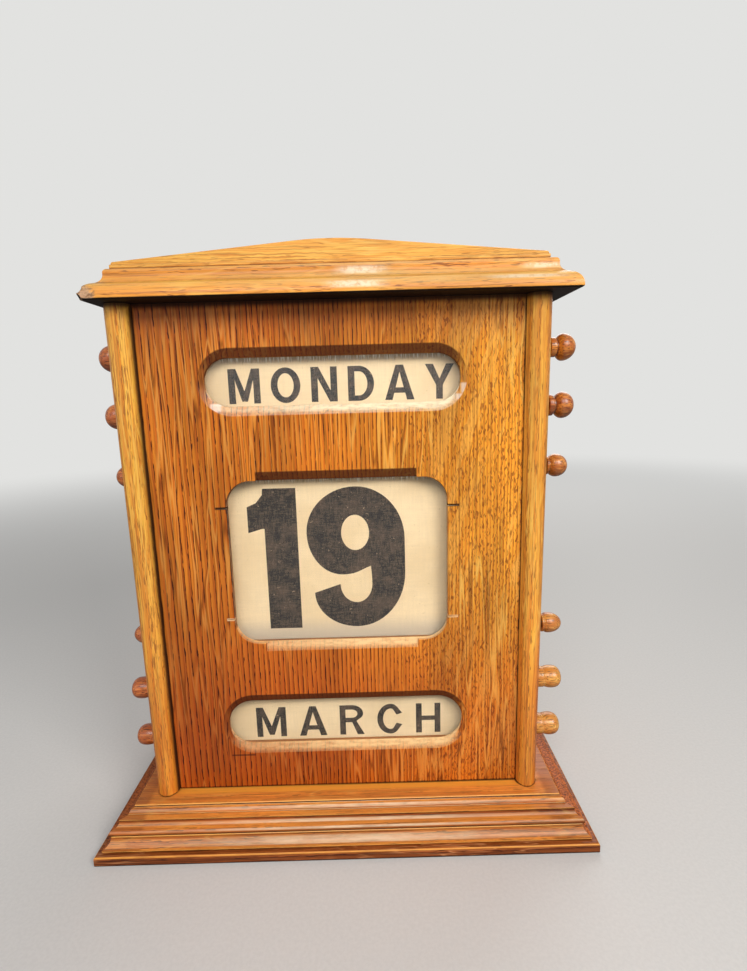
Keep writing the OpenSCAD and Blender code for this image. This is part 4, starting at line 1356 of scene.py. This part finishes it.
def makeWord(scroll):
    look = wordLook[scroll]
    alphabet = glyphs(look["stem"], look["bar"])
    shapes = [alphabet[letter]() for letter in look["word"]]
    room = (look["right"] - look["left"]) / look["height"] - sum(width for width, outlines in shapes)
    gap = room / (len(shapes) - 1)
    loops = []
    left = look["left"]
    for width, outlines in shapes:
        loops += [(outline, look["height"], left, look["foot"]) for outline in outlines]
        left += (width + gap) * look["height"]
    return inkPiece(f"{scroll}_word", scroll, loops)


numeralLook = {"foot": 134.5, "oneLeft": -46.5, "nineLeft": -20.4}


def makeNumeral():
    one = [(0, 0), (20.5, 0), (20.5, 92), (0, 92), (-0.4, 88), (-4.5, 83), (-10.2, 80.6), (-10.2, 64),
           (-1.5, 66.5), (0, 66.5)]
    nine = [
        (19.9, 28.9), (3.65, 23.52), (3.6, 23.5, "up"), (30.6, 0, "across"), (61.5, 36, "up"),
        (61.5, 58, "up"), (31, 92, "across"), (0, 62.8, "up"), (22, 35.3, "across"), (39.8, 40.5),
        (40.4, 29, "up"), (30.6, 16.5, "across"), (20.2, 28.5, "up"),
    ]
    counter = [(30.4, 74, "across"), (39.2, 62.4, "up"), (30.4, 51.2, "across"), (21.7, 62.4, "up")]
    foot = numeralLook["foot"]
    return inkPiece("date_numeral", "date", [
        (one, 1.0, numeralLook["oneLeft"], foot),
        (nine, 1.0, numeralLook["nineLeft"], foot),
        (counter, 1.0, numeralLook["nineLeft"], foot),
    ])


inkPieces = {"day": makeWord("day"), "date": makeNumeral(), "month": makeWord("month")}
for scroll in inkPieces:
    makeLinen(scroll)
for roller in rollers:
    dress(f"{roller}_wound_linen", linen)
print("linen printed and stretched")


# glass: old clear panes that let the lamps through

def makeGlass():
    material, tree, pane = newMaterial("window_glass")
    pane.inputs["Base Color"].default_value = white
    pane.inputs["Transmission Weight"].default_value = 1.0
    pane.inputs["Roughness"].default_value = 0.0
    pane.inputs["IOR"].default_value = 1.5
    clear = addNode(tree, "BsdfTransparent")
    shadowRay = addNode(tree, "LightPath").outputs["Is Shadow Ray"]
    blend(tree, shadowRay, pane, clear, tree.nodes["Material Output"])
    return material


glass = makeGlass()
for scroll in scrolls:
    dress(f"{scroll}_glass", glass)
print("glass fitted")


# floor, background and lamps

studioLook = {
    "floor": 4.0,
    "fade": (0.5, 2.2),
    "speckle": (0.002, 0.002, 0.002),
    "speckleAmount": 0.05,
    "boards": (224, 223, 221),
    "backdrop": (226, 226, 224),
    "mirrored": 0.3,
    "world": 0.22,
    "lamps": {
        "key": {"place": (0.75, -0.95, 0.95), "size": (0.55, 0.55), "power": 9.6, "colour": (1, 0.97, 0.93)},
        "window": {"place": (-0.1, -1.05, 1), "size": (0.9, 0.4), "power": 6.6, "colour": (1, 0.99, 0.98)},
        "fill": {"place": (-1.1, -0.9, 0.55), "size": (1.1, 1.1), "power": 2, "colour": (0.95, 0.97, 1)},
        "behind": {"place": (0.5, 1.2, 0.9), "size": (0.9, 0.9), "power": 6, "colour": (1, 0.99, 0.97)},
    },
    "aim": (0, 0, 0.18),
}


def makeWorld():
    # a dim light on the object, and the pale backdrop for the camera, the glass and polished faces
    look = studioLook
    world = bpy.data.worlds.new("studio")
    world.use_nodes = True
    tree = world.node_tree
    tree.nodes.clear()
    output = addNode(tree, "OutputWorld")
    seen = addNode(tree, "Background", {"Color": paint(*look["backdrop"]), "Strength": 1.0})
    lit = addNode(tree, "Background", {"Color": white, "Strength": look["world"]})
    path = addNode(tree, "LightPath")
    through = times(tree, path.outputs["Is Transmission Ray"],
                    calc(tree, "LESS_THAN", path.outputs["Diffuse Depth"], 0.5))
    straight = most(tree, path.outputs["Is Camera Ray"], through)
    straight = most(tree, straight, times(tree, path.outputs["Is Glossy Ray"], look["mirrored"]))
    blend(tree, straight, lit, seen, output)
    scene.world = world


def makeFloor():
    # it fades into the backdrop far from the object
    look = studioLook
    disc = bmesh.new()
    bmesh.ops.create_circle(disc, cap_ends=True, segments=96, radius=look["floor"])
    data = bpy.data.meshes.new("floor")
    disc.to_mesh(data)
    disc.free()
    floor = bpy.data.objects.new("floor", data)
    scene.collection.objects.link(floor)
    material, tree, surface = newMaterial("pale_floor")
    place = addNode(tree, "TexCoord")
    distance = addNode(tree, "VectorMath", {0: place.outputs["Object"]}, operation="LENGTH")
    far = ease(tree, distance.outputs["Value"], *look["fade"])
    speckle = patches(tree, place.outputs["Object"], look["speckle"], 3.0, 0.6)
    tone = ease(tree, speckle, 0.3, 0.7, 0.0, look["speckleAmount"])
    path = addNode(tree, "LightPath")
    mirrored = times(tree, path.outputs["Is Glossy Ray"], 1 - look["mirrored"])
    colour = mixColour(tree, tone, paint(*look["boards"]), black)
    feed(tree, surface.inputs["Base Color"], mixColour(tree, mirrored, colour, black))
    surface.inputs["Roughness"].default_value = 0.6
    glow = addNode(tree, "Emission", {"Color": paint(*look["backdrop"]), "Strength": 1.0})
    faded = times(tree, far, path.outputs["Is Camera Ray"])
    blend(tree, faded, surface, glow, tree.nodes["Material Output"])
    data.materials.append(material)


def makeLamps():
    for name, lamp in studioLook["lamps"].items():
        light = bpy.data.lights.new(name, "AREA")
        light.shape = "RECTANGLE"
        light.size, light.size_y = lamp["size"]
        light.energy = lamp["power"]
        light.color = lamp["colour"]
        holder = bpy.data.objects.new(name, light)
        # the panes let shadow rays through, so the cloth has this light already
        holder.visible_transmission = False
        scene.collection.objects.link(holder)
        way = Vector(studioLook["aim"]) - Vector(lamp["place"])
        turn = way.to_track_quat("-Z", "Y").to_matrix().to_4x4()
        holder.matrix_world = Matrix.Translation(lamp["place"]) @ turn


makeWorld()
makeFloor()
makeLamps()
scene.view_settings.view_transform = "Standard"
print("studio lit")
